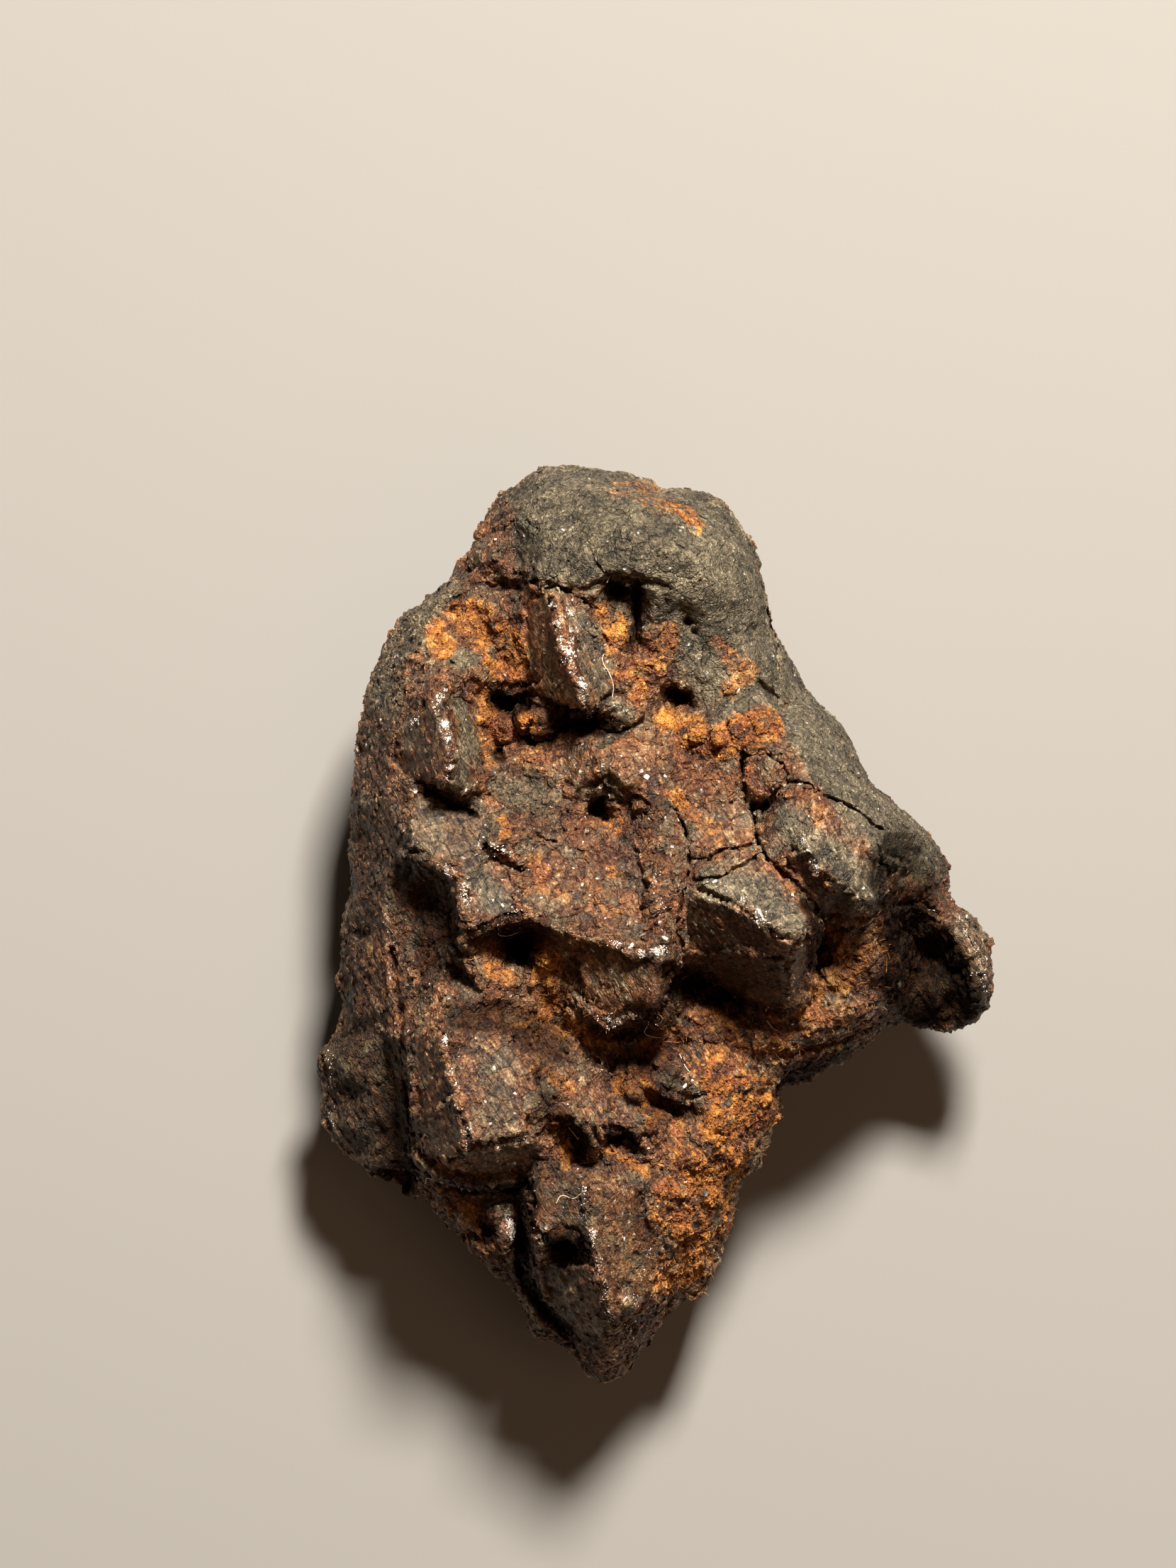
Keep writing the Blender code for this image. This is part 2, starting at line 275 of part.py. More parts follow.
# Single heights on the upper side, between the lines
TOP_SPOTS = [
    # dome
    (-4.6, 16.3, 12.4), (-2.6, 16.4, 13.4), (-0.6, 16.1, 14.2), (1.3, 15.2, 14.2),
    (2.5, 13.8, 13.6), (-3.2, 15.1, 13.6), (2.3, 12.4, 12.9), (3.4, 12.0, 12.0),
    # left shoulder and rust hollow
    (-7.4, 15.5, 9.4), (-8.4, 13.9, 9.5), (-9.4, 12.6, 9.5), (-10.4, 11.0, 9.6),
    (-7.6, 13.7, 10.0), (-8.9, 11.7, 10.0), (-7.9, 11.6, 10.1), (-6.3, 13.0, 10.6),
    (-10.6, 9.4, 10.4), (-10.8, 7.4, 10.6), (-10.9, 5.2, 10.8), (-9.8, 8.4, 11.9),
    (-9.9, 7.0, 12.0), (-7.1, 9.9, 10.8), (-6.6, 8.4, 10.4), (-6.4, 7.4, 9.6),
    # right of the wedge
    (-2.6, 10.4, 14.2), (-2.2, 13.3, 12.3), (-1.9, 12.6, 12.2), (-1.7, 11.4, 12.4),
    (-1.0, 10.8, 12.2), (-0.6, 9.8, 12.0), (1.2, 10.8, 12.2), (2.4, 10.6, 12.4),
    (3.4, 10.9, 12.4), (3.0, 9.4, 12.2), (4.2, 9.6, 11.8), (4.7, 10.8, 10.8),
    (-0.2, 8.7, 11.4), (0.8, 8.8, 11.4), (1.8, 8.8, 11.8), (5.0, 7.4, 13.2),
    # middle
    (-6.2, 6.4, 11.2), (-5.2, 6.7, 11.5), (-4.2, 6.9, 11.9), (-3.3, 6.8, 12.2),
    (-2.3, 7.2, 12.9), (-0.9, 7.0, 13.3), (0.2, 6.7, 12.8), (0.9, 7.4, 12.0),
    (-6.8, 5.6, 11.4), (-5.3, 5.2, 11.8), (-4.0, 5.4, 12.0), (-3.2, 6.0, 12.5),
    (-6.5, 4.4, 11.9), (-4.8, 4.0, 12.1), (-3.3, 4.2, 11.9), (-1.6, 4.0, 12.1),
    (-0.6, 3.6, 12.8), (-8.8, 3.9, 12.7), (-7.6, 3.9, 12.4), (-9.9, 4.3, 12.2),
    (-7.2, 2.4, 12.8), (-5.2, 2.9, 12.5), (-4.2, 2.5, 12.6), (-3.0, 2.9, 12.6),
    (-2.0, 2.3, 12.9), (-1.0, 2.6, 13.2), (-6.3, 1.6, 13.2), (-5.2, 1.6, 12.9),
    (-3.9, 1.3, 13.1), (-2.6, 1.0, 13.3), (-1.2, 0.6, 13.5), (0.6, 5.6, 12.5),
    (1.4, 6.4, 12.4), (2.4, 6.5, 12.8), (3.3, 6.4, 13.0), (1.6, 5.1, 13.1),
    (2.6, 4.8, 13.4), (3.4, 4.6, 13.5), (2.6, 2.9, 14.1), (4.2, 3.4, 14.2),
    # blocks on the right
    (5.0, 1.1, 16.0), (4.2, 1.9, 15.3), (2.1, 0.6, 14.2), (3.0, 0.2, 14.9),
    (1.6, -0.2, 13.4), (4.4, -2.2, 12.8), (7.2, 3.7, 15.8), (8.3, 3.1, 15.5),
    (6.4, 4.7, 15.1), (8.9, 3.2, 14.2), (5.8, 6.6, 13.8), (6.8, 6.3, 13.2),
    (7.8, 5.7, 12.9), (5.9, 7.6, 12.8), (11.3, 2.2, 9.0), (9.6, 3.2, 12.0),
    # lower right slope
    (7.7, -0.6, 11.7), (8.8, -0.6, 11.2), (9.7, -0.6, 10.0), (7.6, -1.6, 11.0),
    (9.0, -1.9, 10.5), (9.8, -2.2, 9.4), (7.0, -3.6, 10.7), (8.0, -3.8, 10.1),
    (9.2, -3.5, 9.4), (6.3, -4.2, 10.7), (11.6, -3.6, 6.6), (12.8, -3.4, 7.0),
    (10.4, -3.4, 7.2), (2.0, -3.6, 10.1), (3.4, -4.3, 10.3), (5.0, -4.5, 10.6),
    # fan
    (3.6, -6.4, 10.1), (4.5, -7.4, 9.0), (3.4, -7.6, 10.0), (4.0, -8.8, 8.6),
    (3.0, -9.2, 9.8), (2.6, -10.6, 9.0), (0.5, -9.4, 11.3), (0.3, -10.6, 11.4),
    (1.4, -10.8, 10.4), (2.4, -12.2, 8.4), (1.1, -12.4, 9.8), (-0.3, -12.0, 11.3),
    (-1.5, -10.6, 12.2), (-1.5, -12.4, 12.1), (1.6, -13.9, 7.8), (0.4, -14.0, 9.2),
    (-0.8, -13.8, 11.0), (-0.2, -15.6, 8.4), (-1.1, -15.4, 10.0), (0.8, -15.0, 7.6),
    (-1.1, -17.0, 7.9), (0.9, -8.4, 10.6), (-1.3, -17.9, 6.6),
    # between the beak, the shelf and the facet
    (-5.0, -2.0, 11.5), (-4.5, -1.5, 11.6), (-6.2, -1.9, 11.9), (-6.9, -0.9, 11.8),
    (-5.6, -2.0, 11.7), (-6.6, -1.4, 11.9), (-4.7, -1.0, 11.9),
    (-4.4, -2.9, 10.4), (-3.9, -4.2, 10.0), (-5.4, -3.4, 11.2), (-6.6, -3.6, 12.0),
    (-7.5, -4.2, 12.8), (-5.5, -4.7, 12.0), (-3.4, -5.2, 11.0), (-2.2, -5.4, 10.2),
    (-4.4, -5.7, 12.1), (-7.3, -5.6, 13.3), (-6.2, -6.4, 13.3), (-5.2, -7.0, 13.0),
    (-3.4, -6.4, 12.4), (-2.3, -6.9, 12.0), (-7.0, -7.6, 13.6), (-5.9, -7.9, 13.4),
    (-2.0, -2.4, 13.7), (-1.0, -2.2, 14.4), (-1.9, -1.4, 14.0),
    # left side
    (-9.4, 0.2, 10.7), (-9.5, -1.4, 10.8), (-10.1, 1.0, 10.5), (-9.5, -2.9, 11.2),
    (-8.6, -1.9, 11.4),
    (-9.3, -4.6, 12.6), (-9.2, -6.4, 12.6), (-9.0, -8.4, 12.1), (-8.7, -9.4, 11.2),
    (-12.1, 5.0, 8.2), (-12.0, 1.4, 8.2), (-12.2, -1.4, 8.0), (-12.2, -3.6, 7.8),
    (-11.4, -4.4, 8.4), (-12.7, -6.2, 7.4), (-11.7, -7.0, 7.8), (-12.6, -8.4, 6.8),
    (-11.5, -8.8, 7.4), (-13.3, -5.6, 6.8),
    # lower left block
    (-8.8, -11.5, 8.3), (-7.9, -12.2, 8.4), (-7.2, -13.3, 8.0), (-6.6, -14.0, 7.2),
    (-3.9, -11.4, 12.2), (-3.5, -14.8, 10.3), (-2.9, -15.9, 9.7), (-2.7, -17.1, 7.8),
]

# Heights on the underside. The resting spot is drawn a little low and cut flat later
UNDER_SPOTS = [
    # resting spot
    (-5.4, 3.6, -0.35), (-5.8, -0.6, -0.4), (-3.8, -4.4, -0.35), (0.2, -5.2, -0.4),
    (3.4, -2.6, -0.35), (4.0, 1.6, -0.4), (1.8, 5.2, -0.35), (-2.2, 6.2, -0.4),
    (-1.0, 0.4, -0.45),
    # first ring of knobs and scoops
    (-7.8, 5.6, 1.6), (-8.4, 1.6, 1.2), (-8.2, -3.0, 1.5), (-6.4, -7.2, 1.0),
    (-2.4, -8.6, 1.2), (1.6, -8.4, 1.1), (4.6, -5.4, 1.7), (6.6, -1.0, 1.0),
    (6.8, 3.4, 1.4), (4.4, 7.2, 1.2), (0.8, 9.4, 0.9), (-3.6, 9.6, 1.3),
    (-6.6, 8.4, 1.9), (-6.9, -1.0, 1.0), (5.2, 0.6, 0.9), (-0.6, 7.9, 0.8),
    # outer ring
    (-10.6, 5.4, 3.4), (-10.9, 0.8, 2.9), (-10.8, -3.4, 3.2), (-11.2, -7.4, 2.3),
    (-8.4, -9.6, 2.6), (-5.6, -12.2, 2.2), (-2.6, -13.2, 2.4), (0.6, -12.2, 2.6),
    (-3.2, -16.4, 2.9), (-1.6, -15.4, 2.8), (2.6, -9.6, 2.9), (8.4, -3.6, 3.4),
    (10.2, -1.6, 2.8), (11.8, -2.8, 3.4), (9.4, 2.0, 3.2), (8.2, 5.2, 3.6),
    (5.4, 9.4, 3.3), (3.6, 12.4, 3.0), (0.8, 13.6, 2.4), (-2.4, 13.4, 2.8),
    (-5.6, 12.6, 3.2), (-9.2, 9.2, 3.6), (2.4, 15.6, 4.4), (-1.2, 16.8, 4.0),
    (-4.4, 16.2, 4.6), (-7.6, 12.6, 4.4), (6.9, 6.9, 2.9), (-9.6, 11.0, 4.6),
]

# The rim wanders up and down on its way round: how far, and over what length
RIM_WANDER = 1.3
RIM_WANDER_LENGTH = 3.4

# The sides turn under below the rim: how far in, how far down, and how unevenly
BELLY_IN = 1.1
BELLY_DROP = 2.5
BELLY_UNEVENNESS = 0.9
BELLY_EVERY = 3             # one belly point for this many rim points

# Caves that run in under the ledges: (name, mouth, direction in, half depth, width and height)
CAVES = [
    ("left hole", (-5.9, 9.2, 8.4), (-0.1, 1.0, -0.15), 1.3, 0.75, 0.7),
    ("crevice", (-3.0, 8.4, 9.4), (0.0, 1.0, -0.1), 0.9, 1.4, 0.6),
    ("upper hole", (-1.6, 13.9, 10.6), (0.0, 1.0, -0.3), 0.7, 0.35, 0.5),
    ("middle hole", (0.95, 9.55, 9.6), (0.1, 1.0, -0.2), 0.7, 0.4, 0.4),
    ("left slit", (-9.0, 5.4, 10.8), (0.3, 1.0, -0.1), 0.7, 0.6, 0.4),
    ("arch hole", (-5.6, -0.9, 9.6), (0.1, 1.0, -0.3), 1.1, 0.6, 0.7),
    ("block shade", (2.2, -2.3, 9.9), (0.1, 1.0, -0.1), 1.1, 1.5, 0.7),
    ("beak shade", (-1.2, -4.1, 10.0), (0.0, 1.0, 0.0), 0.8, 1.1, 0.5),
    ("slit", (-1.3, -8.8, 10.2), (0.0, 1.0, -0.1), 0.8, 0.65, 0.4),
    ("plate hole", (-3.7, -13.1, 9.6), (0.0, 1.0, -0.1), 1.2, 0.7, 0.7),
    ("lobe cave", (-10.7, -10.9, 5.0), (0.35, 1.0, 0.0), 1.2, 0.8, 0.6),
    ("gap hole", (6.6, -1.0, 10.0), (-0.1, 1.0, -0.1), 0.7, 0.5, 0.7),
]

# Roughening: (grain size, height, seed), in millimetres
GRAINS = [(5.5, 0.42, 3.1), (2.4, 0.26, 11.7), (1.1, 0.12, 23.9)]
UPPER_GRAIN_SHARE = 0.35    # the upper side is already drawn by the survey
THUMBPRINT_SIZE = 4.6       # scoops melted into the sides and underside
THUMBPRINT_DEPTH = 0.85
UPPER_WEIGHT = 0.25         # thinning weight of the upper side, next to 1 on the underside
THINNING_FAVOUR = 6e-6      # how far those weights outrank the shape's own error

STONE_COLOUR = (0.052, 0.038, 0.028, 1.0)
STONE_ROUGHNESS = 0.55
STONE_METALLIC = 0.35


def clear_scene():
    for thing in list(bpy.data.objects):
        bpy.data.objects.remove(thing)


def stretched(point):
    """A survey point at the driving dimensions, in millimetres."""
    x, y, z = point
    return Vector((
        x * WIDTH / SURVEY_WIDTH,
        y * LENGTH / SURVEY_LENGTH,
        z * THICKNESS / SURVEY_THICKNESS,
    ))


def rim_points():
    """The rim, its height running from end to end of each stretch and wandering on the way."""
    points = []
    for start, end, places in RIM.values():
        for (x, y), z in zip(places, np.linspace(start, end, len(places))):
            wander = RIM_WANDER * noise.noise(Vector((x, y, 0.0)) / RIM_WANDER_LENGTH)
            points.append(stretched((x, y, z + wander)))
    return points


def belly_points(rim):
    """Points just inside and below the rim, so that the sides bulge before they turn under."""
    points = []
    for i in range(0, len(rim), BELLY_EVERY):
        along = (rim[(i + 2) % len(rim)] - rim[i - 2]).xy.normalized()
        inwards = Vector((along.y, -along.x, 0.0))
        unevenness = BELLY_UNEVENNESS * noise.noise(rim[i] * 0.45)
        drop = Vector((0.0, 0.0, BELLY_DROP + unevenness))
        points.append(rim[i] + inwards * (BELLY_IN + 0.4 * unevenness) - drop)
    return points


def net(rim, lines, spots):
    """Triangles stretched over the rim, lines and spots: (points, faces), seen from above."""
    points = list(rim)
    edges = []
    for line in lines:
        first = len(points)
        points += [stretched(p) for p in line]
        edges += [(i, i + 1) for i in range(first, len(points) - 1)]
    points += spots
    flat = [p.xy for p in points]
    outline = [list(range(len(rim)))]
    placed, _, faces, sources, _, _ = delaunay_2d_cdt(flat, edges, outline, 1, NET_EPSILON)
    heights = []
    for place, source in zip(placed, sources):
        if not source:
            raise ValueError(f"two survey lines cross at {place.x:.2f}, {place.y:.2f}")
        heights.append(points[source[0]].z)
    return [Vector((p.x, p.y, z)) for p, z in zip(placed, heights)], faces


def stretched_nets():
    """The upper and the lower net, joined at the rim into one closed mesh."""
    rim = rim_points()
    shape = bmesh.new()
    top = [stretched(p) for p in TOP_SPOTS]
    under = [stretched(p) for p in UNDER_SPOTS] + belly_points(rim)
    sides = (
        (TOP_LINES.values(), top, False),
        ([], under, True),
    )
    for lines, spots, turned in sides:
        points, faces = net(rim, lines, spots)
        corners = [shape.verts.new(p * MM) for p in points]
        for face in faces:
            loop = [corners[i] for i in face]
            shape.faces.new(loop[::-1] if turned else loop)
    bmesh.ops.remove_doubles(shape, verts=shape.verts, dist=1e-3 * MM)
    bmesh.ops.recalc_face_normals(shape, faces=shape.faces)
    mesh = bpy.data.meshes.new("nets")
    shape.to_mesh(mesh)
    shape.free()
    return mesh


def cave_cutter(name, mouth, inwards, depth, width, height, collection):
    """An egg-shaped cutter, lying along its way in, with its middle at the cave's mouth."""
    shape = bmesh.new()
    bmesh.ops.create_icosphere(shape, subdivisions=2, radius=1.0)
    bmesh.ops.scale(shape, vec=Vector((width, depth, height)) * MM, verts=shape.verts)
    turn = Vector(inwards).to_track_quat("Y", "Z").to_matrix().to_4x4()
    place = Matrix.Translation(stretched(mouth) * MM)
    bmesh.ops.transform(shape, matrix=place @ turn, verts=shape.verts)
    mesh = bpy.data.meshes.new("cave " + name)
    shape.to_mesh(mesh)
    shape.free()
    cutter = bpy.data.objects.new("cave " + name, mesh)
    cutter.hide_render = True
    cutter.display_type = "WIRE"
    collection.objects.link(cutter)
    return cutter


def as_plain_mesh(thing):
    """The object's modifiers applied, as a new mesh."""
    bpy.context.view_layer.update()
    graph = bpy.context.evaluated_depsgraph_get()
    return bpy.data.meshes.new_from_object(thing.evaluated_get(graph))


def fused_skin(stone, cutters):
    """Cuts the caves and fuses everything into one even skin."""
    for cutter in cutters:
        cut = stone.modifiers.new(cutter.name, "BOOLEAN")
        cut.operation = "DIFFERENCE"
        cut.solver = "EXACT"
        cut.object = cutter
    skin = stone.modifiers.new("skin", "REMESH")
    skin.mode = "VOXEL"
    skin.voxel_size = SKIN_VOXEL * MM
    ease = stone.modifiers.new("ease", "SMOOTH")
    ease.factor = 0.4
    ease.iterations = 1
    mesh = as_plain_mesh(stone)
    stone.modifiers.clear()
    return mesh


def thumbprint(place):
    """0 on the crests between the melted scoops, 1 in the middle of one."""
    nearest = noise.voronoi(place / (THUMBPRINT_SIZE * MM))[0]
    return max(0.0, 1.0 - (nearest[0] / 0.62) ** 2)


def roughened(mesh):
    """Moves the skin in and out: fine grain everywhere, scoops on the sides and underside."""
    shape = bmesh.new()
    shape.from_mesh(mesh)
    shape.normal_update()
    moves = []
    for corner in shape.verts:
        up = corner.normal.z
        lower = min(1.0, max(0.0, (0.35 - up) / 0.5))
        share = UPPER_GRAIN_SHARE + (1.0 - UPPER_GRAIN_SHARE) * lower
        move = 0.0
        for size, height, seed in GRAINS:
            place = corner.co / (size * MM) + Vector((seed, -seed, 0.5 * seed))
            move += share * height * noise.noise(place)
        move -= lower * THUMBPRINT_DEPTH * thumbprint(corner.co) * min(1.0, corner.co.z / (3.0 * MM))
        moves.append(corner.normal * (move * MM))
    for corner, move in zip(shape.verts, moves):
        corner.co += move
    shape.to_mesh(mesh)
    shape.free()


def fewer_faces(stone):
    """Thins the skin to the solid's triangles, first of all on the underside."""
    count = sum(len(face.vertices) - 2 for face in stone.data.polygons)
    thinned = stone.vertex_groups.new(name="thinned first")
    for corner in stone.data.vertices:
        lower = min(1.0, max(0.0, (0.3 - corner.normal.z) / 0.5))
        thinned.add([corner.index], UPPER_WEIGHT + (1.0 - UPPER_WEIGHT) * lower, "REPLACE")
    thin = stone.modifiers.new("thin", "DECIMATE")
    thin.vertex_group = thinned.name
    thin.vertex_group_factor = THINNING_FAVOUR
    thin.ratio = SOLID_TRIANGLES / count
    thin.use_collapse_triangulate = True
    mesh = as_plain_mesh(stone)
    stone.modifiers.clear()
    return mesh


def brought_to_size(mesh):
    """Stretches the mesh to the driving length and width, centred over the origin."""
    places = np.empty(len(mesh.vertices) * 3)
    mesh.vertices.foreach_get("co", places)
    places = places.reshape(-1, 3)
    for axis, size in ((0, WIDTH), (1, LENGTH)):
        low = places[:, axis].min()
        high = places[:, axis].max()
        places[:, axis] = (places[:, axis] - (low + high) / 2) * size * MM / (high - low)
    places[:, 2] *= THICKNESS * MM / places[:, 2].max()
    mesh.vertices.foreach_set("co", places.ravel())
    mesh.update()


def cut_flat_below(mesh, height):
    """Cuts the mesh off level at this height and closes the cut with a flat face."""
    shape = bmesh.new()
    shape.from_mesh(mesh)
    everything = shape.verts[:] + shape.edges[:] + shape.faces[:]
    bmesh.ops.bisect_plane(
        shape, geom=everything, dist=1e-6 * MM, plane_co=(0, 0, height), plane_no=(0, 0, -1), clear_outer=True,
    )
    open_edges = [edge for edge in shape.edges if edge.is_boundary]
    bmesh.ops.holes_fill(shape, edges=open_edges, sides=0)
    bmesh.ops.triangulate(shape, faces=shape.faces)
    bmesh.ops.recalc_face_normals(shape, faces=shape.faces)
    shape.to_mesh(mesh)
    shape.free()


def stone_material():
    material = bpy.data.materials.new("weathered iron")
    material.use_nodes = True
    shader = material.node_tree.nodes["Principled BSDF"]
    shader.inputs["Base Color"].default_value = STONE_COLOUR
    shader.inputs["Roughness"].default_value = STONE_ROUGHNESS
    shader.inputs["Metallic"].default_value = STONE_METALLIC
    return material


def main():
    clear_scene()
    collection = bpy.data.collections.new("iron meteorite")
    cutting = bpy.data.collections.new("cutters")
    for group in (collection, cutting):
        bpy.context.scene.collection.children.link(group)
    stone = bpy.data.objects.new("meteorite", stretched_nets())
    collection.objects.link(stone)
    cutters = [cave_cutter(*cave, cutting) for cave in CAVES]
    stone.data = fused_skin(stone, cutters)
    roughened(stone.data)
    stone.data = fewer_faces(stone)
    brought_to_size(stone.data)
    cut_flat_below(stone.data, 0.0)
    stone.data.materials.clear()
    stone.data.materials.append(stone_material())
    stone.data.shade_smooth()
    stone.data.set_sharp_from_angle(angle=math.radians(40))


main()
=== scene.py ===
# %% [markdown]
# # A weathered iron meteorite
#
# This notebook dresses a plain solid of a small iron meteorite, 38 mm long, until it looks like the stone in
# the photograph. The solid has the big forms: a rounded head, stepped ledges, caves, a side arm and a pointed
# foot. What is missing is everything a magnifier shows: cracks, flakes, worn metal edges, orange rust, crumbs
# of rust, sparkling crystal faces and a few threads of lint. The bright edges and the sparkle are partly
# painted highlights, and the caves and the faces in shadow get painted shade. The stone lies on its back, and
# the camera looks straight down on it.

# %% Load the solid
import math

import bmesh
import bpy
import numpy as np
from mathutils import Matrix, Vector, noise
from mathutils.bvhtree import BVHTree


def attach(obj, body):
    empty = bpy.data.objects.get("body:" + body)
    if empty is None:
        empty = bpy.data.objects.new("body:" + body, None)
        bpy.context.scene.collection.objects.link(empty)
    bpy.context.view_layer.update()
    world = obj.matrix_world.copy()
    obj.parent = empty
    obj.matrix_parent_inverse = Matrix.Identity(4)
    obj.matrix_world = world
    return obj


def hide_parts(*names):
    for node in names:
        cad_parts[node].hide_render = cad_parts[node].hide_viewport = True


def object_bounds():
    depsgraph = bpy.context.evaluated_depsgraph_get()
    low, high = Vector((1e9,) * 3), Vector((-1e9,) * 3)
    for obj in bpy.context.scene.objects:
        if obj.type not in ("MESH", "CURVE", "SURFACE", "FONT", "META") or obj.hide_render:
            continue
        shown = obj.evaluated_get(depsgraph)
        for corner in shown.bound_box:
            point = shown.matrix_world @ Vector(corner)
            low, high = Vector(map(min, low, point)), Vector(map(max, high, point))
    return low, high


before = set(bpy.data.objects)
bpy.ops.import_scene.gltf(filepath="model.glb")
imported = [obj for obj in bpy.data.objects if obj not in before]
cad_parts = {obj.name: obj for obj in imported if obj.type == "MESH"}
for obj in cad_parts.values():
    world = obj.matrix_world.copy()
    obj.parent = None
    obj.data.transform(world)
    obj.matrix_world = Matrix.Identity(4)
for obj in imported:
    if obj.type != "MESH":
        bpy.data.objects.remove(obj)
solid_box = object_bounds()
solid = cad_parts["meteorite"]
MM = 0.001
print("solid box in mm:", [[round(v / MM, 2) for v in corner] for corner in solid_box])

# %% [markdown]
# A few small tools come first. Colours are written the way a paint program shows them, as sRGB
# hex values, and the shader wants linear numbers, so one function converts them. Every node of
# a material or of the scattering is added by one other function: it sets properties, then feeds each
# input either with a value or with a link from another node's output. The rest make a mesh from
# a shape, put a thing into the scene, start and end a material, and count triangles.


# %% A few small tools
def colour(hex_value):
    """A linear RGBA colour from an sRGB hex value such as "#8a7a63"."""
    parts = [int(hex_value[i:i + 2], 16) / 255 for i in (1, 3, 5)]
    linear = [c / 12.92 if c <= 0.04045 else ((c + 0.055) / 1.055) ** 2.4 for c in parts]
    return (*linear, 1.0)


def in_mm(*lengths):
    """Lengths given in millimetres, in Blender's metres."""
    return tuple(length * MM for length in lengths)


def add_node(tree, kind, inputs=None, stops=None, **settings):
    """A new node with its settings, colour stops and inputs. An input is a value or a socket."""
    made = tree.nodes.new(kind)
    for name, value in settings.items():
        setattr(made, name, value)
    if stops:
        ramp = made.color_ramp
        ramp.elements.remove(ramp.elements[1])
        ramp.elements[0].position = stops[0][0]
        ramp.elements[0].color = stops[0][1]
        for place, stop_colour in stops[1:]:
            ramp.elements.new(place).color = stop_colour
    for socket, value in (inputs or {}).items():
        if isinstance(value, bpy.types.NodeSocket):
            tree.links.new(value, made.inputs[socket])
        else:
            made.inputs[socket].default_value = value
    return made


def empty_material(name):
    """A new material and its node tree, with no nodes in it yet."""
    material = bpy.data.materials.new(name)
    material.use_nodes = True
    material.node_tree.nodes.clear()
    return material, material.node_tree


def end_material(tree, inputs):
    """Ends a material's tree with one shader that has these inputs."""
    shader = add_node(tree, "ShaderNodeBsdfPrincipled", inputs)
    add_node(tree, "ShaderNodeOutputMaterial", {"Surface": shader.outputs[0]})


def in_scene(name, data):
    """A new object with this data, put into the scene."""
    thing = bpy.data.objects.new(name, data)
    bpy.context.scene.collection.objects.link(thing)
    return thing


def plain_mesh(thing):
    """The object as its modifiers leave it, as a new mesh."""
    bpy.context.view_layer.update()
    graph = bpy.context.evaluated_depsgraph_get()
    return bpy.data.meshes.new_from_object(thing.evaluated_get(graph))


def finished_mesh(shape, name):
    """The edited shape as a new mesh, and the end of the editing."""
    mesh = bpy.data.meshes.new(name)
    shape.to_mesh(mesh)
    shape.free()
    return mesh


def triangles_in(mesh):
    """How many triangles the mesh has when all its faces are split."""
    return sum(len(face.vertices) - 2 for face in mesh.polygons)


print("dark iron oxide in linear light:", [round(c, 3) for c in colour("#3a2a20")])

# %% [markdown]
# The solid has about nine thousand flat triangles. They are far too coarse for cracks, so a
# copy of it is rebuilt as an even skin of small squares with the Remesh modifier, and a few
# rounds of smoothing melt the flat facets together. A sculptor would do the same before
# switching to small brushes. The skin starts finer than it may end, because thinning it at the
# very end leaves the triangles where the detail is.

# %% An even skin to carve
SKIN_CELL = 0.09 * MM       # half as wide as the narrowest crack
FACET_EASING = 5            # rounds of smoothing, enough to lose the solid's flat triangles
MERGE_DISTANCE = 1e-4 * MM


def merged_copy(source, name):
    """A copy of a mesh whose loose triangles are joined up again."""
    shape = bmesh.new()
    shape.from_mesh(source)
    bmesh.ops.remove_doubles(shape, verts=shape.verts, dist=MERGE_DISTANCE)
    return finished_mesh(shape, name)


stone = in_scene("stone", merged_copy(solid.data, "stone"))
skin = stone.modifiers.new("even skin", "REMESH")
skin.mode = "VOXEL"
skin.voxel_size = SKIN_CELL
ease = stone.modifiers.new("ease facets", "SMOOTH")
ease.factor = 0.5
ease.iterations = FACET_EASING
stone.data = plain_mesh(stone)
stone.modifiers.clear()
print("skin points:", len(stone.data.vertices))


# %% [markdown]
# Carving is done with numbers. The skin's points are read into one array, in millimetres, and each feature is
# a line of points drawn on the photograph.
# The function below finds every skin point near such a line, how far from it, and on which
# side. Measuring from above is fine, because the upper side is what the lines were drawn on.
# The places are first shaken a little with noise, so no crack or ledge runs ruler-straight.

# %% Read the skin and follow lines on it
NOISE_SEED = 4              # without a seed, Blender's noise vectors start from the clock
LINE_SHAKE = (0.55, 0.08)   # size and strength of the shake, mm
UP_RAMP = (-0.15, 0.25)     # height of the normal where the upper side begins and is reached
TABLE_RAMP = (0.25, 1.2)    # mm over the table where the carving begins and is full


def read_points(mesh):
    """The mesh's points and normals as arrays, points in millimetres."""
    count = len(mesh.vertices)
    places = np.empty(count * 3)
    normals = np.empty(count * 3)
    mesh.vertices.foreach_get("co", places)
    mesh.vertices.foreach_get("normal", normals)
    return places.reshape(-1, 3) / MM, normals.reshape(-1, 3)


def shaken(places, size, amount):
    """The places, each pushed about in all three directions by smooth noise."""
    return places + amount * np.array([noise.noise_vector(Vector(place) / size) for place in places])


def follow(flat, line, reach):
    """Which points lie within reach of a line: (index, distance, side), side +1 on its left."""
    line = np.asarray(line, dtype=float)
    inside = np.all((flat > line.min(axis=0) - reach) & (flat < line.max(axis=0) + reach), axis=1)
    near = np.flatnonzero(inside)
    spots = flat[near]
    closest = np.full(len(near), np.inf)
    side = np.zeros(len(near))
    for start, end in zip(line[:-1], line[1:]):
        step = end - start
        away = spots - start
        part = np.clip(away @ step / (step @ step), 0.0, 1.0)
        distance = np.hypot(*(away - part[:, None] * step).T)
        turn = np.sign(step[0] * away[:, 1] - step[1] * away[:, 0])
        closer = distance < closest
        closest[closer] = distance[closer]
        side[closer] = turn[closer]
    keep = closest < reach
    return near[keep], closest[keep], side[keep]


